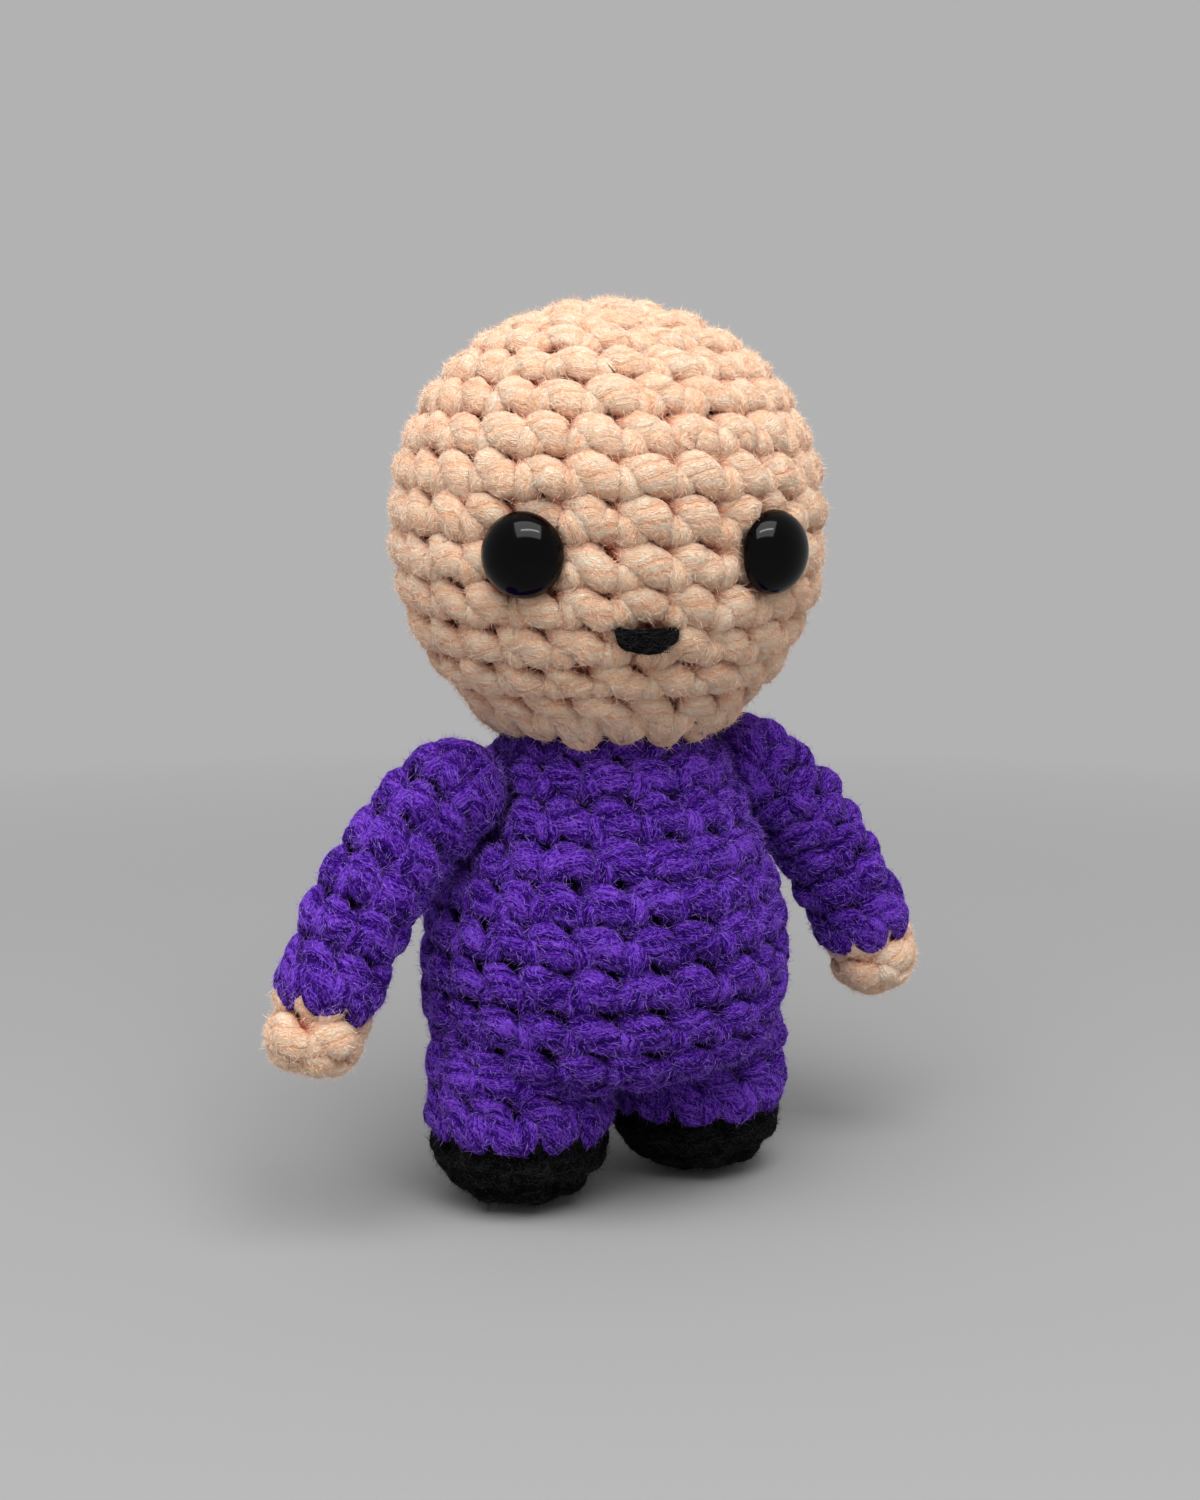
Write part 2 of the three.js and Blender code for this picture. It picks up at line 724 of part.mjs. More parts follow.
// The origin is the middle of the doll's box, on the floor.
const box = new THREE.Box3().setFromObject(doll, true);
const middle = box.getCenter(new THREE.Vector3());
doll.position.set(-middle.x, -middle.y, -box.min.z);

export default doll;
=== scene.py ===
import math

import bpy
import numpy as np
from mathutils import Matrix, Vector


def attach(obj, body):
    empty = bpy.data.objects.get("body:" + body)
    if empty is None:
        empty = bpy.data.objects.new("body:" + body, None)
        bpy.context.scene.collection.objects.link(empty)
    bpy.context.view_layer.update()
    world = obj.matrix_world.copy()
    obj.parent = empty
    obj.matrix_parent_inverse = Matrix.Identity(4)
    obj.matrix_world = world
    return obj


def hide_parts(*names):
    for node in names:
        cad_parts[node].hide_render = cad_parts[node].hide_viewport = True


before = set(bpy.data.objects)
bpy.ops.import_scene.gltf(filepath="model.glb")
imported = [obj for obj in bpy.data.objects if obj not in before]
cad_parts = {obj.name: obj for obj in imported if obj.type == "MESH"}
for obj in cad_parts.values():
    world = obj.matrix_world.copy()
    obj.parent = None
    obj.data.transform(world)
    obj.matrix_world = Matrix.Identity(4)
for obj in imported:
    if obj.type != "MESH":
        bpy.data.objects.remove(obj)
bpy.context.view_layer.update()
print("frame loaded")

# Lengths are in millimetres in the CAD's frame, and become metres when a mesh is made.
milli = 0.001
axisForward = 0.628  # the doll's upright axis lies this far along +Y


def placed(name, data):
    # A new object in the scene that shows this mesh, light or camera.
    piece = bpy.data.objects.new(name, data)
    bpy.context.scene.collection.objects.link(piece)
    return piece


def aimed(spot, target):
    # The rotation of a camera or light at one spot that looks at another.
    return (Vector(target) - Vector(spot)).to_track_quat("-Z", "Y").to_euler()


# Camera, at the photograph's viewing angle

cameraSettings = {"spot": (-93.6, -174.9, 74.8), "target": (0, 1.83, 44.3), "lens": 48.38}

camera = placed("camera", bpy.data.cameras.new("camera"))
bpy.context.scene.camera = camera
camera.data.sensor_width = 36
camera.data.lens = cameraSettings["lens"]
camera.data.clip_start = 0.005
camera.data.clip_end = 50
camera.location = Vector(cameraSettings["spot"]) * milli
camera.rotation_euler = aimed(cameraSettings["spot"], cameraSettings["target"])
print("camera placed")

# Node trees


class Net:
    # Adds nodes to a tree: inputs are given by name, as a value or as another node's socket.
    def __init__(self, tree):
        self.tree = tree

    def add(self, kind, inputs=(), out=0, **settings):
        node = self.tree.nodes.new(kind)
        for key, value in settings.items():
            setattr(node, key, value)
        for key, value in dict(inputs).items():
            socket = node.inputs[key]
            if isinstance(value, bpy.types.NodeSocket):
                self.tree.links.new(value, socket)
            else:
                socket.default_value = value
        return node.outputs[out]

    def math(self, operation, first, second=0.0):
        return self.add("ShaderNodeMath", {0: first, 1: second}, operation=operation)

    def times(self, first, second):
        return self.math("MULTIPLY", first, second)

    def plus(self, first, second):
        return self.math("ADD", first, second)

    def minus(self, first, second):
        return self.math("SUBTRACT", first, second)

    def noise(self, vector, scale, detail, roughness=0.5, out=0):
        inputs = {"Vector": vector, "Scale": scale, "Detail": detail, "Roughness": roughness}
        return self.add("ShaderNodeTexNoise", inputs, out)

    def vector(self, operation, first, second=(0.0, 0.0, 0.0), out=0):
        return self.add("ShaderNodeVectorMath", {0: first, 1: second}, out, operation=operation)

    def scaled(self, vector, factor):
        return self.add("ShaderNodeVectorMath", {0: vector, "Scale": factor}, operation="SCALE")

    def named(self, name, kind="FLOAT"):
        return self.add("GeometryNodeInputNamedAttribute", {"Name": name}, data_type=kind)

    def namedVector(self, name):
        return self.named(name, "FLOAT_VECTOR")

    def store(self, geometry, name, value, kind="FLOAT"):
        inputs = {"Geometry": geometry, "Name": name, "Value": value}
        return self.add("GeometryNodeStoreNamedAttribute", inputs, data_type=kind, domain="POINT")


def geometryTree(name, sockets):
    tree = bpy.data.node_groups.new(name, "GeometryNodeTree")
    tree.interface.new_socket("Geometry", in_out="OUTPUT", socket_type="NodeSocketGeometry")
    tree.interface.new_socket("Geometry", in_out="INPUT", socket_type="NodeSocketGeometry")
    for label, kind in sockets.items():
        tree.interface.new_socket(label, in_out="INPUT", socket_type="NodeSocket" + kind)
    return Net(tree), tree.nodes.new("NodeGroupInput").outputs


def closeTree(net, geometry, material, base=None):
    # The tree gives this geometry as real faces of the material, together with the base.
    real = net.add("GeometryNodeRealizeInstances", {"Geometry": geometry})
    result = net.add("GeometryNodeSetMaterial", {"Geometry": real, "Material": material})
    if base is not None:
        both = net.tree.nodes.new("GeometryNodeJoinGeometry")
        net.tree.links.new(result, both.inputs[0])
        net.tree.links.new(base, both.inputs[0])
        result = both.outputs[0]
    net.tree.links.new(result, net.tree.nodes.new("NodeGroupOutput").inputs[0])
    return net.tree


def useTree(piece, tree, values):
    # A modifier with the tree, its inputs set by name.
    modifier = piece.modifiers.new(tree.name, "NODES")
    modifier.node_group = tree
    for socket in tree.interface.items_tree:
        if socket.in_out == "INPUT" and socket.name in values:
            modifier[socket.identifier] = values[socket.name]


def settle(piece):
    # The piece's modifiers become its plain mesh.
    bpy.context.view_layer.update()
    graph = bpy.context.evaluated_depsgraph_get()
    mesh = bpy.data.meshes.new_from_object(piece.evaluated_get(graph), depsgraph=graph)
    piece.modifiers.clear()
    piece.data = mesh
    mesh.name = piece.name


def makeYarnTree():
    # The yarn follows a path: a round cord of twisted plies, flatter against the surface.
    kinds = {"Sides": "Int", "Radius": "Float", "Twist": "Float", "Flatten": "Float"}
    kinds.update({"Widen": "Float", "Lumps": "Float", "Material": "Material"})
    net, given = geometryTree("yarn", kinds)
    curve = net.add("GeometryNodeMeshToCurve", {"Mesh": given["Geometry"]})
    length = net.add("GeometryNodeSplineParameter", out=1)
    curve = net.store(curve, "along", length)
    curve = net.store(curve, "centre", net.add("GeometryNodeInputPosition"), "FLOAT_VECTOR")
    curve = net.store(curve, "axis", net.add("GeometryNodeInputTangent"), "FLOAT_VECTOR")
    girth = net.times(net.named("girth"), given["Radius"])
    tilt = net.times(net.times(length, given["Twist"]), 2 * math.pi)
    curve = net.add("GeometryNodeSetCurveTilt", {"Curve": curve, "Tilt": tilt})
    inputs = {"Resolution": given["Sides"], "Radius": 1.0}
    ring = net.add("GeometryNodeCurvePrimitiveCircle", inputs)
    ring = net.store(ring, "round", net.add("GeometryNodeSplineParameter", out=0))
    inputs = {"Curve": curve, "Profile Curve": ring, "Scale": girth, "Fill Caps": True}
    mesh = net.add("GeometryNodeCurveToMesh", inputs)
    centre = net.namedVector("centre")
    outward = net.namedVector("outward")
    spoke = net.vector("SUBTRACT", net.add("GeometryNodeInputPosition"), centre)
    side = net.vector("CROSS_PRODUCT", outward, net.namedVector("axis"))
    thin = net.times(net.vector("DOT_PRODUCT", spoke, outward, 1), given["Flatten"])
    wide = net.times(net.vector("DOT_PRODUCT", spoke, side, 1), given["Widen"])
    spoke = net.vector("SUBTRACT", spoke, net.scaled(outward, thin))
    spoke = net.vector("ADD", spoke, net.scaled(side, wide))
    turn = net.times(net.named("round"), 2 * math.pi)
    parts = {"X": net.math("COSINE", turn), "Y": net.math("SINE", turn), "Z": net.named("along")}
    strand = net.add("ShaderNodeCombineXYZ", parts)
    mesh = net.store(mesh, "strand", strand, "FLOAT_VECTOR")
    lumps = net.vector("MULTIPLY", net.namedVector("strand"), (2.2, 2.2, 900.0))
    lumps = net.noise(lumps, 1.0, 1.0)
    lumps = net.times(net.minus(lumps, 0.5), given["Lumps"])
    spoke = net.scaled(spoke, net.plus(lumps, 1.0))
    height = net.vector("DOT_PRODUCT", spoke, outward, 1)
    level = net.plus(net.times(height, 1 / milli), net.named("level"))
    mesh = net.store(mesh, "level", level)
    place = net.vector("ADD", centre, spoke)
    mesh = net.add("GeometryNodeSetPosition", {"Geometry": mesh, "Position": place})
    for name in ("centre", "along", "round", "girth"):
        mesh = net.add("GeometryNodeRemoveAttribute", {"Geometry": mesh, "Name": name})
    mesh = net.add("GeometryNodeSetShadeSmooth", {"Geometry": mesh, "Shade Smooth": True})
    return closeTree(net, mesh, given["Material"])


def makeFuzzTree():
    # Loose fibres leave the yarn mostly along its strand, each a thin closed spike.
    kinds = {"Density": "Float", "Length": "Float", "Thickness": "Float", "Lift": "Float"}
    kinds.update({"Along": "Float", "Seed": "Int", "Material": "Material"})
    net, given = geometryTree("fuzz", kinds)
    normal = net.add("GeometryNodeInputNormal")
    upright = net.vector("DOT_PRODUCT", normal, net.namedVector("outward"), 1)
    shown = net.times(net.math("GREATER_THAN", upright, 0.15), net.named("shown"))
    scatter = net.tree.nodes.new("GeometryNodeDistributePointsOnFaces")
    inputs = {"Mesh": given["Geometry"], "Seed": given["Seed"]}
    inputs["Density"] = net.times(given["Density"], shown)
    for key, value in inputs.items():
        net.tree.links.new(value, scatter.inputs[key])

    def chance(low, high, seed):
        limits = {2: low, 3: high, "Seed": seed}
        return net.add("FunctionNodeRandomValue", limits, 1, data_type="FLOAT")

    wild = {"Min": (-1.0,) * 3, "Max": (1.0,) * 3, "Seed": 7}
    wild = net.add("FunctionNodeRandomValue", wild, data_type="FLOAT_VECTOR")
    forward = net.times(chance(-1.0, 1.0, 19), given["Along"])
    lean = net.vector("ADD", wild, net.scaled(scatter.outputs["Normal"], given["Lift"]))
    lean = net.vector("ADD", lean, net.scaled(net.namedVector("axis"), forward))
    turn = net.add("FunctionNodeAlignRotationToVector", {"Vector": lean}, axis="Z")
    spun = net.add("FunctionNodeAxisAngleToRotation", {"Angle": chance(0.0, 2 * math.pi, 11)})
    turn = net.add("FunctionNodeRotateRotation", {"Rotation": turn, "Rotate By": spun},
                   rotation_space="LOCAL")
    thick = net.math("DIVIDE", given["Thickness"], given["Length"])
    cone = {"Vertices": 3, "Radius Top": 0.0, "Radius Bottom": thick, "Depth": 1.0}
    fibre = net.add("GeometryNodeMeshCone", cone)
    size = net.times(chance(0.35, 1.0, 3), given["Length"])
    inputs = {"Points": scatter.outputs["Points"], "Instance": fibre, "Rotation": turn}
    inputs["Scale"] = net.scaled((1.0, 1.0, 1.0), size)
    fibres = net.add("GeometryNodeInstanceOnPoints", inputs)
    return closeTree(net, fibres, given["Material"], given["Geometry"])


yarnTree = makeYarnTree()
fuzzTree = makeFuzzTree()
print("node trees made")

# Materials


def linear(colour):
    # A screen colour of 0 to 255 as the light that Blender works with.
    shares = [c / 255 for c in colour]
    return tuple(s / 12.92 if s < 0.0405 else ((s + 0.055) / 1.055) ** 2.4 for s in shares)


def ramp(net, factor, stops):
    node = net.tree.nodes.new("ShaderNodeValToRGB")
    net.tree.links.new(factor, node.inputs[0])
    elements = node.color_ramp.elements
    while len(elements) < len(stops):
        elements.new(0.5)
    for element, (place, colour) in zip(elements, stops):
        element.position = place
        element.color = (*linear(colour), 1)
    return node.outputs[0]


def startMaterial(name):
    material = bpy.data.materials.new(name)
    material.use_nodes = True
    material.node_tree.nodes.clear()
    return material, Net(material.node_tree)


def endMaterial(net, shader):
    net.tree.links.new(shader, net.tree.nodes.new("ShaderNodeOutputMaterial").inputs[0])


def solid(net, colour, roughness, relief, depth, strength=1.0, **more):
    # A material's surface: its colour, roughness and a relief of so many metres.
    bump = {"Strength": strength, "Distance": depth, "Height": relief}
    inputs = {"Base Color": colour, "Roughness": roughness}
    inputs["Normal"] = net.add("ShaderNodeBump", bump)
    endMaterial(net, net.add("ShaderNodeBsdfPrincipled", {**inputs, **more}))


spinSettings = {
    "plies": 4,
    "plyGrooveShade": 0.15,
    "plyRelief": 0.42,
    "felt": 0.45,
    "roughness": 0.92,
    "gloss": 0.05,
    "relief": 0.0006,
}


def yarnMaterial(name, creaseShade, dark, middle, light, sheen, glow, crisp):
    # Spun yarn: fine fibres run along each strand, and the grooves between plies are darker,
    # painted as shade.
    material, net = startMaterial(name)
    strand = net.add("ShaderNodeAttribute", attribute_name="strand", out=1)
    place = net.add("ShaderNodeTexCoord", out=3)
    warp = net.noise(place, 900.0, 1.0, out=1)
    warp = net.vector("MULTIPLY", warp, (0.5, 0.5, 0.0006))
    strand = net.vector("ADD", strand, warp)
    ridges = net.vector("MULTIPLY", strand, (4.0, 4.0, 380.0))
    ridges = net.noise(ridges, 1.0, 1.0)
    streak = net.vector("MULTIPLY", strand, (9.0, 9.0, 650.0))
    fibres = net.noise(streak, 1.0, 3.0, 0.7)
    patch = net.noise(place, 260.0, 2.0)
    mixed = net.plus(net.times(fibres, 0.65), net.times(patch, 0.2))
    mixed = net.plus(net.times(ridges, 0.15), mixed)
    split = net.tree.nodes.new("ShaderNodeSeparateXYZ")
    net.tree.links.new(strand, split.inputs[0])
    angle = net.math("ARCTAN2", split.outputs[1], split.outputs[0])
    angle = net.times(angle, spinSettings["plies"] / 2)
    ply = net.math("POWER", net.math("ABSOLUTE", net.math("SINE", angle)), 0.5)
    ply = net.minus(ply, 0.8)
    # Painted shade: the tone drops in the grooves between the plies.
    tone = net.plus(mixed, net.times(ply, spinSettings["plyGrooveShade"]))
    felt = net.noise(place, 3200.0, 3.0, 0.7)
    relief = net.plus(mixed, net.times(ply, spinSettings["plyRelief"]))
    relief = net.plus(relief, net.times(felt, spinSettings["felt"]))
    felt = net.times(net.minus(felt, 0.5), spinSettings["felt"])
    tone = net.plus(tone, felt)
    colour = ramp(net, tone, [(0.5 - crisp, dark), (0.5, middle), (0.5 + crisp, light)])
    # Painted shade: the deeper the yarn lies below the guide, the more it takes on the darker
    # crease colour.
    level = net.add("ShaderNodeAttribute", attribute_name="level", out=2)
    limits = {"Value": level, 1: -0.45, 2: -1.9, 3: 0.0, 4: 1.0}
    sunk = net.add("ShaderNodeMapRange", limits, interpolation_type="SMOOTHSTEP")
    blend = {"Factor": sunk, "A": colour, "B": (*linear(creaseShade), 1)}
    colour = net.add("ShaderNodeMix", blend, 2, data_type="RGBA")
    more = {
        "Specular IOR Level": spinSettings["gloss"],
        "Sheen Weight": sheen,
        "Sheen Roughness": 0.45,
        "Sheen Tint": (*linear(light), 1),
        "Subsurface Weight": glow,
        "Subsurface Radius": (1.0, 0.5, 0.3),
        "Subsurface Scale": 0.001,
    }
    solid(net, colour, spinSettings["roughness"], relief, spinSettings["relief"], **more)
    return material


def plainFabric(name, dark, light, scale):
    material, net = startMaterial(name)
    place = net.add("ShaderNodeTexCoord", out=3)
    noise = net.noise(place, scale, 5.0)
    colour = ramp(net, noise, [(0.3, dark), (0.7, light)])
    solid(net, colour, 0.95, noise, 0.0003, 0.6)
    return material


def plasticMaterial(name, dark, light, roughness, relief, gloss=0.4):
    material, net = startMaterial(name)
    place = net.add("ShaderNodeTexCoord", out=3)
    cloud = net.noise(place, 160.0, 3.0)
    colour = ramp(net, cloud, [(0.3, dark), (0.7, light)])
    wear = net.noise(place, 700.0, 2.0)
    rough = net.plus(net.times(wear, 0.08), roughness - 0.04)
    solid(net, colour, rough, cloud, relief, 0.5, **{"Specular IOR Level": gloss})
    return material


# Each yarn: its tones from the painted shade of its creases to light, those of its loose fibres,
# lighter than the yarn, above all in purple, as a painted highlight, and those of the fabric's
# inner side, darker as painted shade; and its finish: the sheen, the glow of light inside it, and
# the width of its change of tone. The colours are of the screen, from 0 to 255.
yarns = {
    "peach": {
        "yarn": ((206, 98, 64), (247, 182, 144), (255, 210, 176), (255, 238, 216)),
        "fuzz": ((252, 204, 172), (255, 232, 210)),
        "inside": ((226, 132, 98), (246, 172, 138)),
        "finish": (0.2, 0.25, 0.15),
    },
    "purple": {
        "yarn": ((4, 0, 24), (26, 1, 78), (71, 22, 146), (124, 70, 206)),
        "fuzz": ((104, 58, 182), (176, 134, 244)),
        "inside": ((8, 2, 20), (22, 8, 46)),
        "finish": (0.25, 0.15, 0.1),
    },
    "black": {
        "yarn": ((0, 0, 0), (1, 1, 1), (6, 6, 7), (26, 26, 29)),
        "fuzz": ((6, 6, 7), (30, 30, 33)),
        "inside": ((2, 2, 2), (6, 6, 6)),
        "finish": (0.06, 0.0, 0.12),
    },
    "fibre": {
        "yarn": ((200, 196, 186), (214, 210, 200), (236, 234, 228), (250, 249, 246)),
        "fuzz": ((236, 234, 228), (250, 249, 246)),
        "inside": ((210, 206, 198), (235, 233, 227)),
        "finish": (0.2, 0.2, 0.15),
    },
}
for name, look in yarns.items():
    look["yarnMaterial"] = yarnMaterial(name + "Yarn", *look["yarn"], *look["finish"])
    # Painted highlight: the loose fibres' tones are lighter than their yarn's, most of all in the
    # purple.
    look["fuzzMaterial"] = plainFabric(name + "Fuzz", *look["fuzz"], 2500.0)
    # The inner side's tones are painted shade, darker than the yarn, for the holes between
    # stitches.
    look["insideMaterial"] = plainFabric(name + "Inside", *look["inside"], 900.0)
print("yarns made")

# Guide surfaces: rings of points up a form, a step apart, that stitches are laid on

guideStep = 0.4
guideSides = 120


def distances(line):
    # How far each point lies along a drawn line.
    return np.r_[0, np.cumsum(np.linalg.norm(np.diff(line, axis=0), axis=1))]


def evenly(line):
    # Points a guide step apart along a drawn line.
    line = np.array(line, float)
    reach = distances(line)
    count = max(int(round(reach[-1] / guideStep)), 2)
    marks = np.linspace(0, reach[-1], count + 1)
    return np.stack([np.interp(marks, reach, column) for column in line.T], 1)


def quarterTurn(radius, height, fullness, shares):
    # A quarter of a rounded outline; it is round at fullness 2, and squarer above that.
    angle = np.array(shares) * math.pi / 2
    across = radius * np.cos(angle) ** (2 / fullness)
    return np.stack([across, height * np.sin(angle) ** (2 / fullness)], 1)


class Guide:
    # Rings of points up a form, with the direction outward at each.
    def __init__(self, rings):
        self.rings = rings
        up = np.gradient(rings, axis=0)
        right = np.roll(rings, -1, 1) - np.roll(rings, 1, 1)
        out = np.cross(right, up)
        size = np.linalg.norm(out, axis=2, keepdims=True)
        flat = size[:, 0, 0] < 1e-6
        out = out / np.maximum(size, 1e-9)
        for i in np.nonzero(flat)[0]:
            mean = out[min(max(i, 1), len(out) - 2)].mean(0)
            out[i] = mean / np.linalg.norm(mean)
        self.out = out
        self.length = (len(rings) - 1) * guideStep

    def at(self, reach, angle):
        # Places and outward directions at distances up the form and angles round it.
        count = self.rings.shape[1]
        i = np.clip(np.asarray(reach) / guideStep, 0, len(self.rings) - 1.001)
        j = (np.asarray(angle) / (2 * math.pi) * count) % count
        i0, j0 = i.astype(int), j.astype(int) % count
        i1, j1 = i0 + 1, (j0 + 1) % count
        a, b = (i - i0)[:, None], (j - np.floor(j))[:, None]
        found = []
        for field in (self.rings, self.out):
            low = field[i0, j0] * (1 - b) + field[i0, j1] * b
            high = field[i1, j0] * (1 - b) + field[i1, j1] * b
            found.append(low * (1 - a) + high * a)
        return found[0], found[1] / np.linalg.norm(found[1], axis=1, keepdims=True)

    def girthAt(self, reach):
        # The way round the form at a distance up it.
        ring = self.rings[int(np.clip(round(reach / guideStep), 0, len(self.rings) - 1))]
        return np.linalg.norm(np.roll(ring, -1, 0) - ring, axis=1).sum()


def turnedGuide(outline, middle=(0.0, 0.0), depthShare=None):
    # A guide turned about an upright axis, made flatter front to back by the share.
    outline = evenly(outline)
    angle = np.arange(guideSides) * 2 * math.pi / guideSides
    share = np.ones(len(outline)) if depthShare is None else depthShare(outline[:, 1])
    x = middle[0] + outline[:, :1] * np.cos(angle)
    y = middle[1] + axisForward + outline[:, :1] * np.sin(angle) * share[:, None]
    return Guide(np.stack([x, y, np.broadcast_to(outline[:, 1:], x.shape)], 2))


# Stuffing: the fabric's form swells over its filling, by cloth simulation with pressure

# The cloth is simulated so many times larger, on every fourth ring and side of the guide; it
# starts swell millimetres inside it, and no point moves further than the cap.
clothSettings = {
    "enlarge": 10.0,
    "pressure": 150.0,
    "stiffness": 4.0,
    "bending": 0.3,
    "frames": 16,
    "swell": 1.0,
    "cap": 1.1,
    "open": 1.5,
    "step": 4,
}


def bands(rows, count):
    # The four-sided faces between rings of this many points.
    faces = []
    for i in range(rows - 1):
        for j in range(count):
            k = (j + 1) % count
            faces.append((i * count + j, i * count + k, (i + 1) * count + k, (i + 1) * count + j))
    return faces


def inflate(verts, faces, held):
    # Where a cloth of these millimetre points comes to rest under pressure from inside.
    size = clothSettings["enlarge"] * milli
    mesh = bpy.data.meshes.new("cloth")
    mesh.from_pydata([tuple(v * size) for v in verts], [], faces)
    cloth = placed("cloth", mesh)
    cloth.vertex_groups.new(name="held").add([int(i) for i in held], 1.0, "REPLACE")
    settings = cloth.modifiers.new("cloth", "CLOTH").settings
    settings.use_pressure = True
    settings.uniform_pressure_force = clothSettings["pressure"]
    settings.effector_weights.gravity = 0
    settings.vertex_group_mass = "held"
    settings.tension_stiffness = clothSettings["stiffness"]
    settings.compression_stiffness = clothSettings["stiffness"]
    settings.bending_stiffness = clothSettings["bending"]
    for number in range(1, clothSettings["frames"] + 1):
        bpy.context.scene.frame_set(number)
    swollen = cloth.evaluated_get(bpy.context.evaluated_depsgraph_get()).to_mesh()
    places = np.empty(len(verts) * 3)
    swollen.vertices.foreach_get("co", places)
    bpy.data.objects.remove(cloth)
    bpy.data.meshes.remove(mesh)
    bpy.context.scene.frame_set(1)
    return places.reshape(-1, 3) / size


def stuffed(name, guide, spots=()):
    # The guide after stuffing, held at its open ends and within reach of the spots.
    start = guide.rings - guide.out * clothSettings["swell"]
    step = clothSettings["step"]
    wide = np.linalg.norm(start - start.mean(1, keepdims=True), axis=2).mean(1)
    wide = wide > clothSettings["open"]
    rows = [i for i in range(0, len(start), step) if wide[i]]
    if wide[-1] and rows[-1] != len(start) - 1:
        rows.append(len(start) - 1)
    coarse = start[rows][:, ::step]
    count = coarse.shape[1]
    verts = coarse.reshape(-1, 3)
    faces = bands(len(rows), count)
    faces += [tuple(range(count))[::-1], tuple(range(len(verts) - count, len(verts)))]
    held = np.zeros(len(verts), bool)
    held[:count] = wide[0]
    held[-count:] = wide[-1]
    for spot, reach in spots:
        held |= np.linalg.norm(verts - spot, axis=1) < reach
    moves = inflate(verts, faces, np.nonzero(held)[0]) - verts
    reach = np.linalg.norm(moves, axis=1, keepdims=True)
    moves *= np.minimum(clothSettings["cap"] / np.maximum(reach, 1e-9), 1)
    moves = moves.reshape(coarse.shape)
    swelled = (moves * guide.out[rows][:, ::step]).sum(2)
    print(name, "stuffed, swells", round(swelled.mean(), 2), "mm, at most", round(swelled.max(), 2))

    # A closed end moves as a whole, and the rings and sides left out of the cloth are filled in.
    if not wide[0]:
        rows = [0] + rows
        moves = np.concatenate([moves[:1] * 0 + moves[0].mean(0), moves])
    if not wide[-1]:
        rows = rows + [len(start) - 1]
        moves = np.concatenate([moves, moves[:1] * 0 + moves[-1].mean(0)])
    fine = np.empty((len(start), count + 1, 3))
    for j in range(count + 1):
        for c in range(3):
            fine[:, j, c] = np.interp(np.arange(len(start)), rows, moves[:, j % count, c])
    at = np.arange(guideSides) / step
    low, share = at.astype(int), (at % 1)[:, None]
    fine = fine[:, low] * (1 - share) + fine[:, low + 1] * share
    return Guide(start + fine + guide.out * (clothSettings["swell"] - swelled.mean()))


# Crochet: each stitch is a V, a long slanting leg and a short one that the next V covers

# Along the round in stitches, up in rounds, out in millimetres, and the yarn's girth.
# The V's foot is at 0, 0.
leftLeg = [
    (-0.97, 0.88, -1.60, 0.88),
    (-0.86, 0.85, -0.55, 0.98),
    (-0.66, 0.76, 0.10, 1.06),
    (-0.42, 0.60, 0.34, 1.12),
    (-0.20, 0.41, 0.20, 1.07),
    (-0.06, 0.22, -0.55, 0.94),
]
foot = [(0.00, 0.05, -1.30, 0.98)]
rightLeg = [
    (0.07, 0.17, -0.60, 0.98),
    (0.16, 0.33, 0.08, 1.08),
    (0.23, 0.52, -0.10, 1.02),
    (0.22, 0.68, -1.40, 0.88),
]
# A foot that reaches down over the round below, where the colour changes.
tabLeft = [(-0.37, 0.50, 0.20, 1.02), (-0.25, 0.20, 0.42, 0.98), (-0.17, -0.08, 0.45, 0.94)]
tabFoot = [(-0.08, -0.26, 0.15, 0.88), (0.08, -0.26, 0.15, 0.88)]
tabRight = [(0.17, -0.08, 0.45, 0.94), (0.24, 0.18, 0.38, 0.98), (0.33, 0.42, -0.30, 0.95)]

# Lengths are in millimetres, drift and jog in stitches and stray in rounds; girths is a share,
# and the four wobbles go with a stitch's four columns. Yarn deeper than sunk has no fibres.
crochet = {
    "rowHeight": 4.15,
    "pitch": 4.95,
    "inset": 1.45,
    "drift": 0.03,
    "unevenness": 0.045,
    "wobble": (0.7, 0.8, 2.2, 1.2),
    "stray": 0.02,
    "girths": 0.04,
    "jog": 3,
    "samples": 3,
    "leadDepth": 0.5,
    "sunk": 0.9,
    "sunkEdge": 0.5,
}


def smoothPath(points, samples):
    # A curve through every point, with a few samples between each two.
    before = np.concatenate([points[:1], points[:-1]])
    after = np.concatenate([points[1:], points[-1:]])
    beyond = np.concatenate([after[1:], after[-1:]])
    pieces = []
    for t in np.arange(samples) / samples:
        curve = 2 * points + (after - before) * t
        curve += (2 * before - 5 * points + 4 * after - beyond) * t * t
        curve += (3 * points - before - 3 * after + beyond) * t ** 3
        pieces.append(0.5 * curve)
    return np.stack(pieces, 1).reshape(-1, points.shape[1])[: (len(points) - 1) * samples + 1]


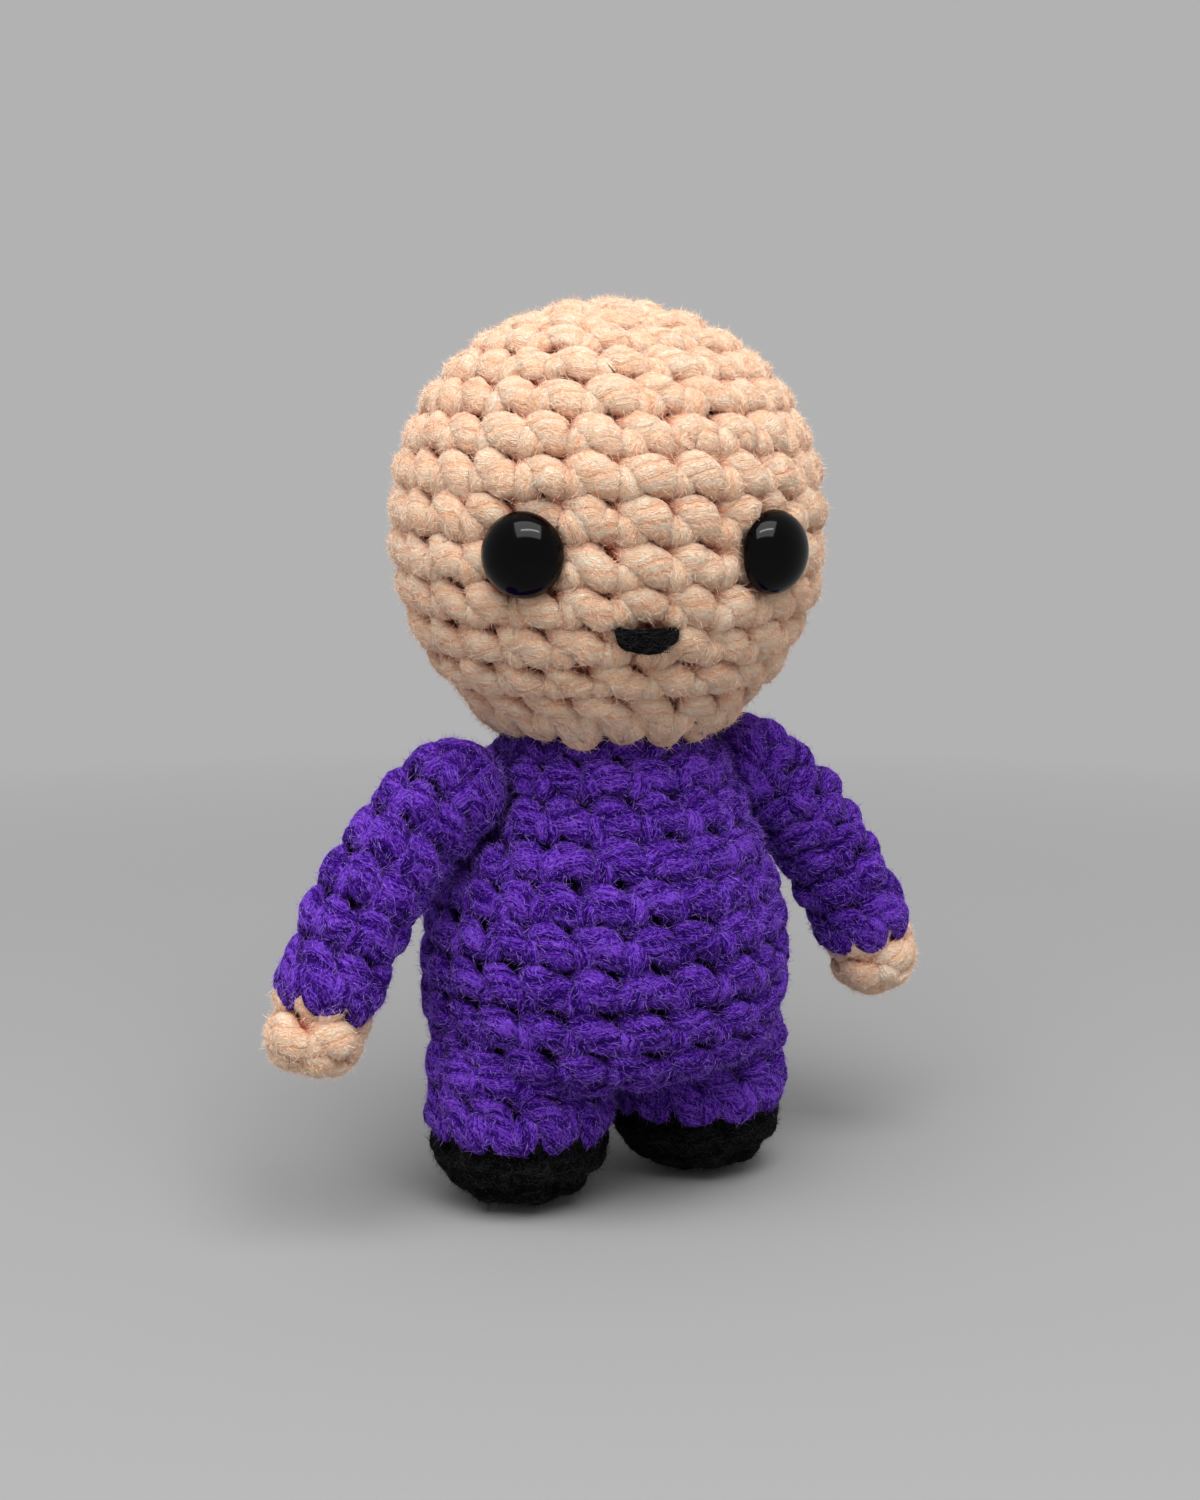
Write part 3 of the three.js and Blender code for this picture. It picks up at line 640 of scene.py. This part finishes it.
def crochetPath(guide, seed, start, rounds, most=99, back=0.25, rise=1.0, relief=1.0,
                tabs=False, lead=0):
    # Rows of reach, angle, outward offset and girth along one continuous yarn, which climbs
    # to the next round at the back. Leading stitches fill the edge below the first climb.
    chance = np.random.default_rng(seed)
    rowHeight = crochet["rowHeight"] * rise
    phase = back * 2 * math.pi
    points = []
    last = -9
    for row in range(rounds):
        middle = min(start + (row + 0.5) * rowHeight, guide.length)
        count = int(round(guide.girthAt(middle) / crochet["pitch"]))
        count = min(max(count, 5), most)
        if abs(count - last) < 2:
            count = last
        phase += crochet["drift"] * 2 * math.pi / count
        last = count
        if row == 0 and tabs:
            stitch = leftLeg[:3] + tabLeft + tabFoot + tabRight + rightLeg[3:]
        else:
            stitch = leftLeg + foot + rightLeg
        stitch = np.array(stitch)
        for k in range(-lead if row == 0 else 0, 0):
            reach = start + rowHeight * stitch[:, 1]
            angle = phase + 2 * math.pi * (k + stitch[:, 0]) / count
            out = stitch[:, 2] * relief - crochet["inset"] - crochet["leadDepth"]
            points.append(np.stack([reach, angle, out, stitch[:, 3]], 1))
        for k in range(count):
            one = chance.normal(0, crochet["unevenness"], stitch.shape)
            one = stitch + one * crochet["wobble"]
            one[:, 1] += chance.normal(0, crochet["stray"])
            one[:, 2] *= relief
            one[:, 3] *= 1 + chance.normal(0, crochet["girths"])
            climb = np.clip((k + one[:, 0] - count) / crochet["jog"] + 1, 0, 1)
            reach = start + rowHeight * (row + climb + one[:, 1])
            angle = phase + 2 * math.pi * (k + one[:, 0]) / count
            points.append(np.stack([reach, angle, one[:, 2] - crochet["inset"], one[:, 3]], 1))
    return smoothPath(np.concatenate(points), crochet["samples"])


# The inputs of the two node trees, lengths in millimetres and fibres per square millimetre
yarnSettings = {
    "Sides": 8,
    "Radius": 1.25,
    "Twist": -130.0,
    "Flatten": 0.25,
    "Widen": 0.25,
    "Lumps": 0.4,
}
fuzzSettings = {
    "Density": 13.0,
    "Length": 1.1,
    "Thickness": 0.028,
    "Lift": 0.22,
    "Along": 2.6,
    "Seed": 5,
}


def yarnPiece(name, strands, look, fuzz=1.0, **changes):
    # Each strand has places, outward directions, girths and depths; all become one piece.
    # Loose fibres grow only on yarn that isn't deep in the fabric.
    verts, edges = [], []
    for strand in strands:
        first = len(verts)
        verts.extend(map(tuple, strand[0] * milli))
        edges.extend((first + i, first + i + 1) for i in range(len(strand[0]) - 1))
    outward, girth, level = [np.concatenate([strand[c] for strand in strands]) for c in (1, 2, 3)]
    shown = np.clip((level + crochet["inset"] + crochet["sunk"]) / crochet["sunkEdge"], 0, 1)
    mesh = bpy.data.meshes.new(name)
    mesh.from_pydata(verts, edges, [])
    mesh.attributes.new("outward", "FLOAT_VECTOR", "POINT")
    mesh.attributes["outward"].data.foreach_set("vector", outward.ravel())
    for label, values in (("girth", girth), ("shown", shown), ("level", level)):
        mesh.attributes.new(label, "FLOAT", "POINT")
        mesh.attributes[label].data.foreach_set("value", values)
    piece = placed(name, mesh)
    values = {**yarnSettings, **changes}
    values["Radius"] *= milli
    useTree(piece, yarnTree, {**values, "Material": yarns[look]["yarnMaterial"]})
    if fuzz > 0:
        values = dict(fuzzSettings)
        values["Density"] = values["Density"] * fuzz / milli ** 2
        values["Length"] *= milli
        values["Thickness"] *= milli
        useTree(piece, fuzzTree, {**values, "Material": yarns[look]["fuzzMaterial"]})
    settle(piece)
    print(name, "faces", len(piece.data.polygons))
    return piece


def smoothPiece(name, verts, faces, material):
    # A smooth-shaded object from millimetre points.
    mesh = bpy.data.meshes.new(name)
    mesh.from_pydata([tuple(v * milli) for v in verts], [], faces)
    mesh.materials.append(material)
    mesh.polygons.foreach_set("use_smooth", [True] * len(mesh.polygons))
    return placed(name, mesh)


shellSettings = {"inset": 2.45, "step": 3}


def shellPiece(name, guide, material, low, tip, clear):
    # A closed shell under the stitches: the fabric's inner side. Its start closes in a flat disc,
    # or in a cone up to the height tip.
    step = shellSettings["step"]
    last = len(guide.rings) - 1
    keep = list(range(int(round(low / guideStep)), last, step)) + [last]
    rings = (guide.rings - guide.out * shellSettings["inset"])[keep][:, ::step]
    rings = clear(rings.reshape(-1, 3)).reshape(rings.shape)
    count = rings.shape[1]
    start, end = rings[0].mean(0), rings[-1].mean(0)
    if tip is not None:
        start[2] = tip
    faces = bands(len(keep), count)
    base, closing = (len(keep) - 1) * count, len(keep) * count
    for j in range(count):
        k = (j + 1) % count
        faces += [(closing, k, j), (closing + 1, base + j, base + k)]
    return smoothPiece(name, [*rings.reshape(-1, 3), start, end], faces, material)


def joined(name, *pieces):
    # One object of all the pieces, without the attributes that only the node trees need.
    bpy.ops.object.select_all(action="DESELECT")
    for piece in pieces:
        piece.select_set(True)
    bpy.context.view_layer.objects.active = pieces[0]
    bpy.ops.object.join()
    pieces[0].name = name
    pieces[0].data.name = name
    for label in ("outward", "shown", "axis"):
        if label in pieces[0].data.attributes:
            pieces[0].data.attributes.remove(pieces[0].data.attributes[label])
    return pieces[0]


def worked(name, guide, seed, work, look, fuzz=1.0, held=(), low=0.0, tip=None,
           clear=lambda place: place):
    # A crocheted piece: yarn along the stuffed guide, and a shell under it from low up.
    guide = stuffed(name, guide, held)
    path = crochetPath(guide, seed, **work)
    place, out = guide.at(path[:, 0], path[:, 1])
    place = clear(place + out * path[:, 2:3])
    yarn = yarnPiece(name, [(place, out, path[:, 3], path[:, 2])], look, fuzz)
    # The shell under the stitches carries painted shade, so the holes between them look dark.
    shadedLining = yarns[look]["insideMaterial"]
    return joined(name, yarn, shellPiece(name + "Inside", guide, shadedLining, low, tip, clear))


# Head

# Millimetres and degrees. The outline starts with the opening, and its rounded form takes over
# above the jaw. The cloth simulation holds what is within "held" of an eye or the mouth.
headSettings = {
    "widest": 66.9,
    "radius": 21.6,
    "drop": 21.6,
    "rise": 21.1,
    "chin": 2.25,
    "crown": 2.1,
    "opening": [(11.0, 45.0), (12.2, 47.4)],
    "jaw": 49.2,
    "turn": -15.0,
    "work": {"start": 3.8, "rounds": 14, "most": 27, "relief": 0.9, "tabs": True, "lead": 2},
    "overrun": 0.8,
    "held": 3.4,
    "shellStart": 2.8,
    "shellTip": 54.5,
}
eyeSettings = {
    "azimuth": 33.6,
    "elevation": -5.3,
    "pressed": (4.6, 1.1),
    "radius": 3.9,
    "rim": 0.3,
    "dome": 3.3,
    "sink": 1.0,
    "stemRadius": 1.3,
    "stemLength": 7.0,
}
mouthSettings = {
    "azimuth": -2.0,
    "elevation": -26.0,
    "pressed": (3.0, 1.3),
    "width": 5.5,
    "height": 2.2,
    "depth": 1.5,
    "strands": 5,
    "strandHeight": 0.85,
    "lowered": 0.55,
    "bow": 0.3,
    "rooted": 1.3,
    "bulge": 0.12,
    "narrowed": 0.2,
    "thinEnd": 0.45,
    "girth": 0.40,
    "bends": 0.14,
    "slides": 0.16,
    "lumps": 0.15,
}
# The ball that the head slides on when it nods or turns; the fabric under it and over it is
# pressed to just inside and just outside.
neckBall = {"pivot": 37.0, "radius": 14.356, "above": 40.5, "under": 14.1, "over": 14.25}

shares = np.linspace(0, 1, 90)
lowHead = quarterTurn(headSettings["radius"], headSettings["drop"], headSettings["chin"], shares)
highHead = quarterTurn(headSettings["radius"], headSettings["rise"], headSettings["crown"], shares)


def onHead(azimuth, elevation):
    # A place on the head's crests and the direction that it faces.
    curve = highHead if elevation > 0 else (lowHead * (1, -1))[::-1]
    steep = np.degrees(np.arctan2(curve[:, 1], np.maximum(curve[:, 0], 1e-6)))
    radius = np.interp(elevation, steep, curve[:, 0])
    height = np.interp(elevation, steep, curve[:, 1])
    step = [np.interp(elevation + d, steep, curve[:, c]) for c in (0, 1) for d in (-0.5, 0.5)]
    along = np.array([step[1] - step[0], step[3] - step[2]])
    face = np.array([along[1], -along[0]]) / np.linalg.norm(along)
    turn = math.radians(azimuth + headSettings["turn"])
    out = np.array([math.sin(turn), -math.cos(turn), 0])
    place = out * radius + (0, axisForward, headSettings["widest"] + height)
    return place, out * face[0] + np.array([0, 0, face[1]])


def fromNeck(place):
    # The ball's centre, and each place's offset and distance from it.
    pivot = np.array([0, axisForward, neckBall["pivot"]])
    return pivot, place - pivot, np.linalg.norm(place - pivot, axis=1, keepdims=True)


eyeSpots = [onHead(side * eyeSettings["azimuth"], eyeSettings["elevation"]) for side in (-1, 1)]
mouthSpot = onHead(mouthSettings["azimuth"], mouthSettings["elevation"])
faceSpots = [(*spot, *eyeSettings["pressed"]) for spot in eyeSpots]
faceSpots.append((*mouthSpot, *mouthSettings["pressed"]))


# The press fades out over the edge, and reaches only so far behind the head's crests
pressSettings = {"edge": 1.2, "behind": 4.0}


def clearFace(place):
    # Stitches under an eye or the mouth are pressed in, and those that slide over the neck out.
    pivot, offset, reach = fromNeck(place)
    place = pivot + offset * np.maximum(neckBall["over"] / reach, 1)
    for spot, facing, reach, depth in faceSpots:
        offset = place - spot
        across = offset - (offset @ facing)[:, None] * facing
        near = reach - np.linalg.norm(across, axis=1)
        near = np.clip(near / pressSettings["edge"], 0, 1)
        near *= (offset @ facing) > -pressSettings["behind"]
        place = place - facing * (near * near * (3 - 2 * near) * depth)[:, None]
    return place


widest = headSettings["widest"]
jaw = [(r, widest - h) for r, h in lowHead if widest - h > headSettings["jaw"]]
headOutline = headSettings["opening"] + jaw[::-1] + [(r, widest + h) for r, h in highHead][1:]
headGuide = turnedGuide(headOutline)
headRise = headGuide.length - headSettings["work"]["start"] + headSettings["overrun"]
headRise /= headSettings["work"]["rounds"] * crochet["rowHeight"]
headWork = {**headSettings["work"], "rise": headRise}
headCover = worked("headCover", headGuide, 21, headWork, "peach",
                   held=[(spot[0], headSettings["held"]) for spot in faceSpots],
                   low=headSettings["shellStart"], tip=headSettings["shellTip"], clear=clearFace)
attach(headCover, "head")
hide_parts("head_cover", "head_stuffing")
print("head made")

# Face


def turnedPiece(name, outline, sides, place, direction, material):
    # A smooth turned piece about a direction; its outline starts and ends on the axis.
    turn = np.array(Vector((0, 0, 1)).rotation_difference(Vector(direction)).to_matrix())
    angle = np.arange(sides) * 2 * math.pi / sides
    verts = [place + turn @ (0, 0, outline[0][1])]
    for radius, height in outline[1:-1]:
        ring = np.stack([radius * np.cos(angle), radius * np.sin(angle), np.full(sides, height)], 1)
        verts += list(place + ring @ turn.T)
    verts.append(place + turn @ (0, 0, outline[-1][1]))
    faces = []
    last = len(verts) - 1
    for j in range(sides):
        k = (j + 1) % sides
        faces.append((0, 1 + k, 1 + j))
        faces.append((last, last - sides + j, last - sides + k))
        for ring in range(1, last - sides, sides):
            faces.append((ring + j, ring + k, ring + sides + k, ring + sides + j))
    return smoothPiece(name, verts, faces, material)


eyePlastic = plasticMaterial("eyePlastic", (1, 1, 2), (3, 3, 4), 0.1, 0.00002, 0.12)
radius, rim, dome = (eyeSettings[key] for key in ("radius", "rim", "dome"))
stem, depth = eyeSettings["stemRadius"], -eyeSettings["stemLength"]
eyeOutline = [(0, depth), (stem * 0.8, depth), (stem, depth + 0.5), (stem, 0)]
eyeOutline += [(radius * 0.9, 0), (radius * 0.97, 0.06), (radius, rim)]
bends = np.linspace(0, math.pi / 2, 24)[1:]
eyeOutline += [(radius * math.cos(a), rim + (dome - rim) * math.sin(a)) for a in bends]
for side, (spot, facing) in zip(("right", "left"), eyeSpots):
    back = spot - facing * eyeSettings["sink"]
    eye = turnedPiece(side + "Eye", eyeOutline, 72, back, facing, eyePlastic)
    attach(eye, "head")
    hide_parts(side + "_eye")

# The mouth: strands side by side, each of which dives into the fabric at both ends and hangs
# lower in the middle than the one above it
spot, facing = mouthSpot
levelWay = np.cross((0, 0, 1), facing)
levelWay /= np.linalg.norm(levelWay)
upWay = np.cross(facing, levelWay)
across = np.linspace(-1, 1, 25)
arch = np.sqrt(np.clip(1 - across ** 2, 0, 1))
mouthStrands = []
chance = np.random.default_rng(71)


def uneven(amount, knots):
    # A random line across the mouth through this many values.
    return np.interp(across, np.linspace(-1, 1, knots), chance.normal(0, amount, knots))


for share in np.arange(mouthSettings["strands"]) / (mouthSettings["strands"] - 1):
    drop = share * (mouthSettings["height"] - mouthSettings["strandHeight"]) * arch
    upward = mouthSettings["height"] / 2 - mouthSettings["lowered"]
    upward = upward + mouthSettings["bow"] * arch - drop
    upward = upward + uneven(mouthSettings["bends"], 9)
    outward = mouthSettings["depth"] * arch ** 0.6 - mouthSettings["rooted"]
    outward = outward + mouthSettings["bulge"] * math.sin(math.pi * share)
    level = across * (mouthSettings["width"] / 2 - mouthSettings["narrowed"])
    level = level + chance.normal(0, mouthSettings["slides"])
    place = spot + np.outer(level, levelWay) + np.outer(upward, upWay)
    place = place + np.outer(outward, facing)
    girth = mouthSettings["thinEnd"] + (1 - mouthSettings["thinEnd"]) * arch
    girth = mouthSettings["girth"] * girth
    girth = girth * (1 + uneven(mouthSettings["lumps"], 13))
    out = np.broadcast_to(facing, place.shape)
    mouthStrands.append((place, out, girth, np.zeros(len(place))))
mouth = yarnPiece("mouth", mouthStrands, "black", 2.0, Flatten=0.0, Widen=0.15)
mouth = joined("mouthStitches", mouth)
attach(mouth, "head")
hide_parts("mouth")
print("face made")

# Neck filling: three twisted strands of fibre through the openings of head and body

neckSettings = {
    "low": 30.8,
    "high": 52.6,
    "strands": 3,
    "radius": 2.2,
    "girth": 2.15,
    "turns": 1.3,
}

climb = np.linspace(0, 1, 40)
still = np.zeros(len(climb))
height = neckSettings["low"] + (neckSettings["high"] - neckSettings["low"]) * climb
# The strands start thin, and have their full girth a sixth of the way up.
girth = neckSettings["girth"] * np.sin(np.clip(climb * 6, 0, 1) * math.pi / 2 * 0.7 + 0.47)
neckStrands = []
for k in range(neckSettings["strands"]):
    angle = 2 * math.pi * (k / neckSettings["strands"] + neckSettings["turns"] * climb)
    out = np.stack([np.cos(angle), np.sin(angle), still], 1)
    place = out * neckSettings["radius"] + np.stack([still, still + axisForward, height], 1)
    neckStrands.append((place, out, girth, still))
neckFilling = joined("neckFilling", yarnPiece("neckFibre", neckStrands, "fibre", 0))
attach(neckFilling, "neck")
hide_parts("neck_stuffing")
print("neck made")

# Tunic

tunicSettings = {
    "bottom": 13.4,
    "opening": 9.0,
    "edge": 4.0,
    "hip": 19.0,
    "belly": 23.0,
    "girth": 20.0,
    "taper": 1.4,
    "taperHeight": 10.5,
    "collar": 13.924,
    "top": 49.9,
    "depth": 0.87,
    "seat": 0.12,
    "armHeld": ((14.0, 0.0, 41.0), 5.5),
    "work": {"start": 0.6, "rounds": 11, "most": 24, "relief": 1.05, "lead": 2},
}
# The arm's centre line, given at the doll's left, and how far the tunic stays clear of it when
# it is turned in by some degrees
armSettings = {
    "shoulder": (17.0, 0.0, 41.6),
    "elbow": (28.4, -0.6, 33.4),
    "tip": (33.0, -2.4, 16.0),
    "clear": 7.5,
    "turnIn": 5.0,
}


def torsoRadius(height):
    bottom, belly = tunicSettings["bottom"], tunicSettings["belly"]
    girth, collar = tunicSettings["girth"], tunicSettings["collar"]
    if height > neckBall["above"]:
        return math.sqrt(neckBall["radius"] ** 2 - (height - neckBall["pivot"]) ** 2)
    if height > belly:
        share = (neckBall["above"] - height) / (neckBall["above"] - belly)
        return collar + (girth - collar) * math.sin(share * math.pi / 2)
    flank = girth - tunicSettings["taper"] * (belly - height) / tunicSettings["taperHeight"]
    turn = max(1 - (height - bottom) / tunicSettings["edge"], 0)
    return flank - tunicSettings["edge"] * (1 - math.sqrt(1 - turn ** 2))


def torsoDepth(heights):
    # The body is flatter than it is wide, least at the neck and most at the seat.
    belly = tunicSettings["belly"]
    high = np.clip((heights - belly) / (neckBall["above"] - belly), 0, 1)
    hip, bottom = tunicSettings["hip"], tunicSettings["bottom"]
    low = np.clip((hip - heights) / (hip - bottom), 0, 1)
    depth = tunicSettings["depth"] + 0.13 * high * high * (3 - 2 * high)
    return depth - tunicSettings["seat"] * low * low


def armPlace(side, key):
    # One of the points above, at either side.
    return np.array(armSettings[key]) * (side, 1, 1)


def armPoint(side, t):
    # Places along the arm's centre line, from the shoulder at 0 to the hand's tip at 1.
    t = t[:, None]
    place = armPlace(side, "shoulder") * (1 - t) ** 2 + armPlace(side, "elbow") * 2 * t * (1 - t)
    return place + armPlace(side, "tip") * t * t + (0, axisForward, 0)


def clearNeighbours(place):
    # The tunic's stitches are pushed in where the nodding head slides over its rounded top, and
    # where an arm, turned in to its limit, comes to them.
    pivot, offset, reach = fromNeck(place)
    over = place[:, 2:] > neckBall["above"]
    place = np.where(over, pivot + offset * np.minimum(neckBall["under"] / reach, 1), place)
    turn = math.radians(armSettings["turnIn"])
    for side in (-1, 1):
        centre = armPlace(side, "shoulder") + (0, axisForward, 0)
        arm = armPoint(side, np.linspace(0, 1, 60)) - centre
        inward = np.array([arm[:, 0] + side * arm[:, 2] * math.tan(turn), arm[:, 1],
                           arm[:, 2] - side * arm[:, 0] * math.tan(turn)]).T
        line = centre + np.concatenate([np.zeros((1, 3)), inward * math.cos(turn)])
        gaps = np.linalg.norm(place[:, None] - line[None], axis=2)
        nearest = line[gaps.argmin(1)]
        offset = place - nearest
        reach = np.linalg.norm(offset, axis=1, keepdims=True)
        place = nearest + offset * np.maximum(armSettings["clear"] / reach, 1)
    return place


heights = np.linspace(tunicSettings["bottom"], tunicSettings["top"], 130)
torsoOutline = [(tunicSettings["opening"], tunicSettings["bottom"])]
torsoOutline += [(torsoRadius(height), height) for height in heights]
torsoGuide = turnedGuide(torsoOutline, depthShare=torsoDepth)
spot, reach = tunicSettings["armHeld"]
armSpots = [(np.array(spot) * (side, 1, 1) + (0, axisForward, 0), reach) for side in (-1, 1)]
tunic = worked("tunic", torsoGuide, 22, tunicSettings["work"], "purple", fuzz=0.6, held=armSpots,
               clear=clearNeighbours)
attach(tunic, "body")
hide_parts("body_cover", "body_stuffing")
print("tunic made")

# Legs and shoes

legSettings = {
    "out": 10.1,
    "forward": -0.8,
    "trouser": [(9.5, 6.6), (9.6, 11), (9.9, 14), (9.4, 16), (7, 18)],
    "trouserWork": {"start": 2.5, "rounds": 2, "tabs": True, "lead": 2},
    "shoeRadius": 9.4,
    "shoeHeight": 7.0,
    "shoeFullness": 2.1,
    "soleSunk": 0.2,
    "ankle": [(9.0, 9.0), (8.0, 11.6)],
    "shoeWork": {"start": 0.5, "rounds": 4, "relief": 0.7},
}

# The sole: the lowest part of the rounded shoe is cut off flat
shoeHeight = legSettings["shoeHeight"]
sole = quarterTurn(legSettings["shoeRadius"], shoeHeight, legSettings["shoeFullness"],
                   np.linspace(1, 0, 40))
sole = [(r, max(shoeHeight - legSettings["soleSunk"] - h, 0.0)) for r, h in sole]
for side, sign in (("right", -1), ("left", 1)):
    middle = (sign * legSettings["out"], legSettings["forward"])
    trouserGuide = turnedGuide(legSettings["trouser"], middle)
    trouser = worked(side + "Trouser", trouserGuide, 30 + sign, legSettings["trouserWork"],
                     "purple", fuzz=0.6)
    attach(trouser, "body")
    shoeGuide = turnedGuide(sole + legSettings["ankle"], middle)
    shoe = worked(side + "Shoe", shoeGuide, 40 + sign, legSettings["shoeWork"], "black", fuzz=0.8)
    coords = np.empty(len(shoe.data.vertices) * 3)
    shoe.data.vertices.foreach_get("co", coords)
    coords[2::3] = np.maximum(coords[2::3], 0)
    shoe.data.vertices.foreach_set("co", coords)
    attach(shoe, "body")
    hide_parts(side + "_shoe", side + "_leg_stuffing")
print("legs made")

# Arms

sleeveSettings = {
    "cuff": [(5.25, 2.4), (5.4, 0.0)],
    "radius": 5.6,
    "from": 4.0,
    "work": {"start": 1.6, "rounds": 7, "most": 7, "back": 0.5, "tabs": True, "lead": 2},
}
handSettings = {
    "length": 9.0,
    "radius": 5.1,
    "tip": 4.5,
    "fullness": 2.4,
    "wrist": [(5.0, 0.0), (4.4, -2.5)],
    "work": {"start": 0.3, "rounds": 3, "back": 0.5, "relief": 0.6},
}
seamSettings = {
    "radius": 4.7,
    "from": 6.0,
    "spread": 50.0,
    "turns": 2.6,
    "girth": 0.85,
    "core": 4.1,
    "coreDepth": 1.9,
}


def armGuides(side):
    # The hand's guide from its tip to the wrist, and the sleeve's from there to the shoulder.
    line = armPoint(side, np.linspace(0, 1, 400))
    reach = distances(line)
    length = reach[-1]

    def onLine(along):
        return np.array([np.interp(along, reach, line[:, c]) for c in range(3)])

    def ringsAlong(stations):
        rings = []
        for radius, along in evenly(stations):
            spot = np.clip(along, 0, length)
            ahead = onLine(spot + 0.3) - onLine(spot - 0.3)
            tangent = ahead / np.linalg.norm(ahead)
            centre = onLine(spot) + tangent * (along - spot)
            across = np.array([0, -1.0, 0]) + tangent * tangent[1]
            across /= np.linalg.norm(across)
            over = np.cross(across, tangent)
            angle = np.arange(guideSides)[:, None] * 2 * math.pi / guideSides
            rings.append(centre + radius * (np.cos(angle) * across + np.sin(angle) * over))
        return Guide(np.array(rings))

    wrist = length - handSettings["length"]
    tip, radius = handSettings["tip"], sleeveSettings["radius"]
    hand = quarterTurn(handSettings["radius"], tip, handSettings["fullness"], np.linspace(1, 0, 40))
    hand = [(r, wrist + tip + h) for r, h in hand]
    hand += [(r, wrist + h) for r, h in handSettings["wrist"]]
    sleeve = [(r, wrist + h) for r, h in sleeveSettings["cuff"]]
    sleeve.append((radius, sleeveSettings["from"]))
    bends = np.linspace(0.05, 0.75, 12)
    sleeve += [(radius * math.cos(a), -radius * math.sin(a)) for a in bends]
    return ringsAlong(hand), ringsAlong(sleeve)


def makeArmSeam(side, sign):
    # The sewn-up end that faces the body: the last stitches wound flat over it.
    centre = armPlace(sign, "shoulder") + (0, axisForward, 0)
    climb = np.linspace(0, 1, 90)
    tilt = math.radians(seamSettings["from"]) + math.radians(seamSettings["spread"]) * climb
    angle = 2 * math.pi * seamSettings["turns"] * climb
    out = [-sign * np.cos(tilt), np.sin(tilt) * np.cos(angle), np.sin(tilt) * np.sin(angle)]
    out = np.stack(out, 1)
    girth = np.full(len(climb), seamSettings["girth"])
    wound = (centre + out * seamSettings["radius"], out, girth, np.zeros(len(climb)))
    wound = yarnPiece(side + "SeamYarn", [wound], "purple", 0.6)
    radius = seamSettings["core"]
    core = [(0, seamSettings["coreDepth"])]
    core += [(radius * math.sin(a), radius * math.cos(a)) for a in np.linspace(0.98, 0, 10)]
    # The core carries the purple inner side's painted shade.
    shadedLining = yarns["purple"]["insideMaterial"]
    core = turnedPiece(side + "SeamCore", core, 24, centre, (-sign, 0, 0), shadedLining)
    return joined(side + "ArmSeam", wound, core)


for side, sign in (("right", -1), ("left", 1)):
    handGuide, sleeveGuide = armGuides(sign)
    sleeve = worked(side + "Sleeve", sleeveGuide, 50 + sign, sleeveSettings["work"], "purple",
                    fuzz=0.6)
    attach(sleeve, side + "_arm")
    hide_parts(side + "_sleeve", side + "_arm_stuffing")
    hand = worked(side + "Hand", handGuide, 60 + sign, handSettings["work"], "peach")
    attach(hand, side + "_arm")
    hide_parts(side + "_hand")
    seam = makeArmSeam(side, sign)
    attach(seam, side + "_shoulder")
    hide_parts(side + "_arm_seam")
print("arms made")

# The two lock washers of the CAD get a material of their own

washerPlastic = plasticMaterial("washerPlastic", (222, 222, 216), (236, 236, 231), 0.55, 0.00003)
for side in ("right", "left"):
    washer = bpy.data.objects[side + "_eye_washer"]
    for slot in washer.material_slots:
        slot.material = washerPlastic
print("washers dressed")

# Stage: the floor fades into an even grey further out

stageSettings = {"grey": 178, "albedo": 0.3, "near": 0.09, "far": 0.3, "radius": 4.0}

floorMaterial, net = startMaterial("floor")
place = net.add("ShaderNodeTexCoord", out=3)
distance = net.vector("LENGTH", place, out=1)
span = stageSettings["far"] - stageSettings["near"]
share = net.math("DIVIDE", net.minus(distance, stageSettings["near"]), span)
share = net.add("ShaderNodeClamp", {"Value": share})
grey = (*linear((stageSettings["grey"],) * 3), 1)
matte = net.add("ShaderNodeBsdfDiffuse", {"Color": (*(stageSettings["albedo"],) * 3, 1)})
even = net.add("ShaderNodeEmission", {"Color": grey})
endMaterial(net, net.add("ShaderNodeMixShader", {0: share, 1: matte, 2: even}))
floorMesh = bpy.data.meshes.new("floor")
radius = stageSettings["radius"]
angles = np.linspace(0, 2 * math.pi, 96, False)
rim = [(radius * math.cos(a), radius * math.sin(a), 0) for a in angles]
floorMesh.from_pydata(rim, [], [tuple(range(len(rim)))])
floorMesh.materials.append(floorMaterial)
floor = placed("floor", floorMesh)

# A softbox, and a strip that only the glossy eyes show: each one's spot, the place that it
# looks at and its size, in metres, and its power in watts
lightSettings = {
    "world": 0.55,
    "softbox": ((-0.12, -0.22, 0.52), (0, 0, 0.05), (0.55, 0.45), 4.6),
    "strip": ((-0.1, -0.24, 0.46), (0, 0, 0.06), (0.34, 0.03), 1.0),
}

world = bpy.data.worlds.new("studio")
bpy.context.scene.world = world
world.use_nodes = True
world.node_tree.nodes.clear()
net = Net(world.node_tree)
paths = net.add("ShaderNodeLightPath").node
seen = net.math("MAXIMUM", paths.outputs["Is Camera Ray"], paths.outputs["Is Glossy Ray"])
seen = net.math("MAXIMUM", seen, paths.outputs["Is Transmission Ray"])
soft = net.add("ShaderNodeBackground", {"Color": (1, 1, 1, 1), "Strength": lightSettings["world"]})
flat = net.add("ShaderNodeBackground", {"Color": grey, "Strength": 1.0})
mixed = net.add("ShaderNodeMixShader", {0: seen, 1: soft, 2: flat})
net.tree.links.new(mixed, net.tree.nodes.new("ShaderNodeOutputWorld").inputs[0])

for name in ("softbox", "strip"):
    spot, target, size, power = lightSettings[name]
    lamp = placed(name, bpy.data.lights.new(name, "AREA"))
    lamp.data.shape = "RECTANGLE"
    lamp.data.size, lamp.data.size_y = size
    lamp.data.energy = power
    lamp.location = spot
    lamp.rotation_euler = aimed(spot, target)
    lamp.visible_diffuse = name == "softbox"
bpy.context.scene.view_settings.view_transform = "Standard"
print("stage set")
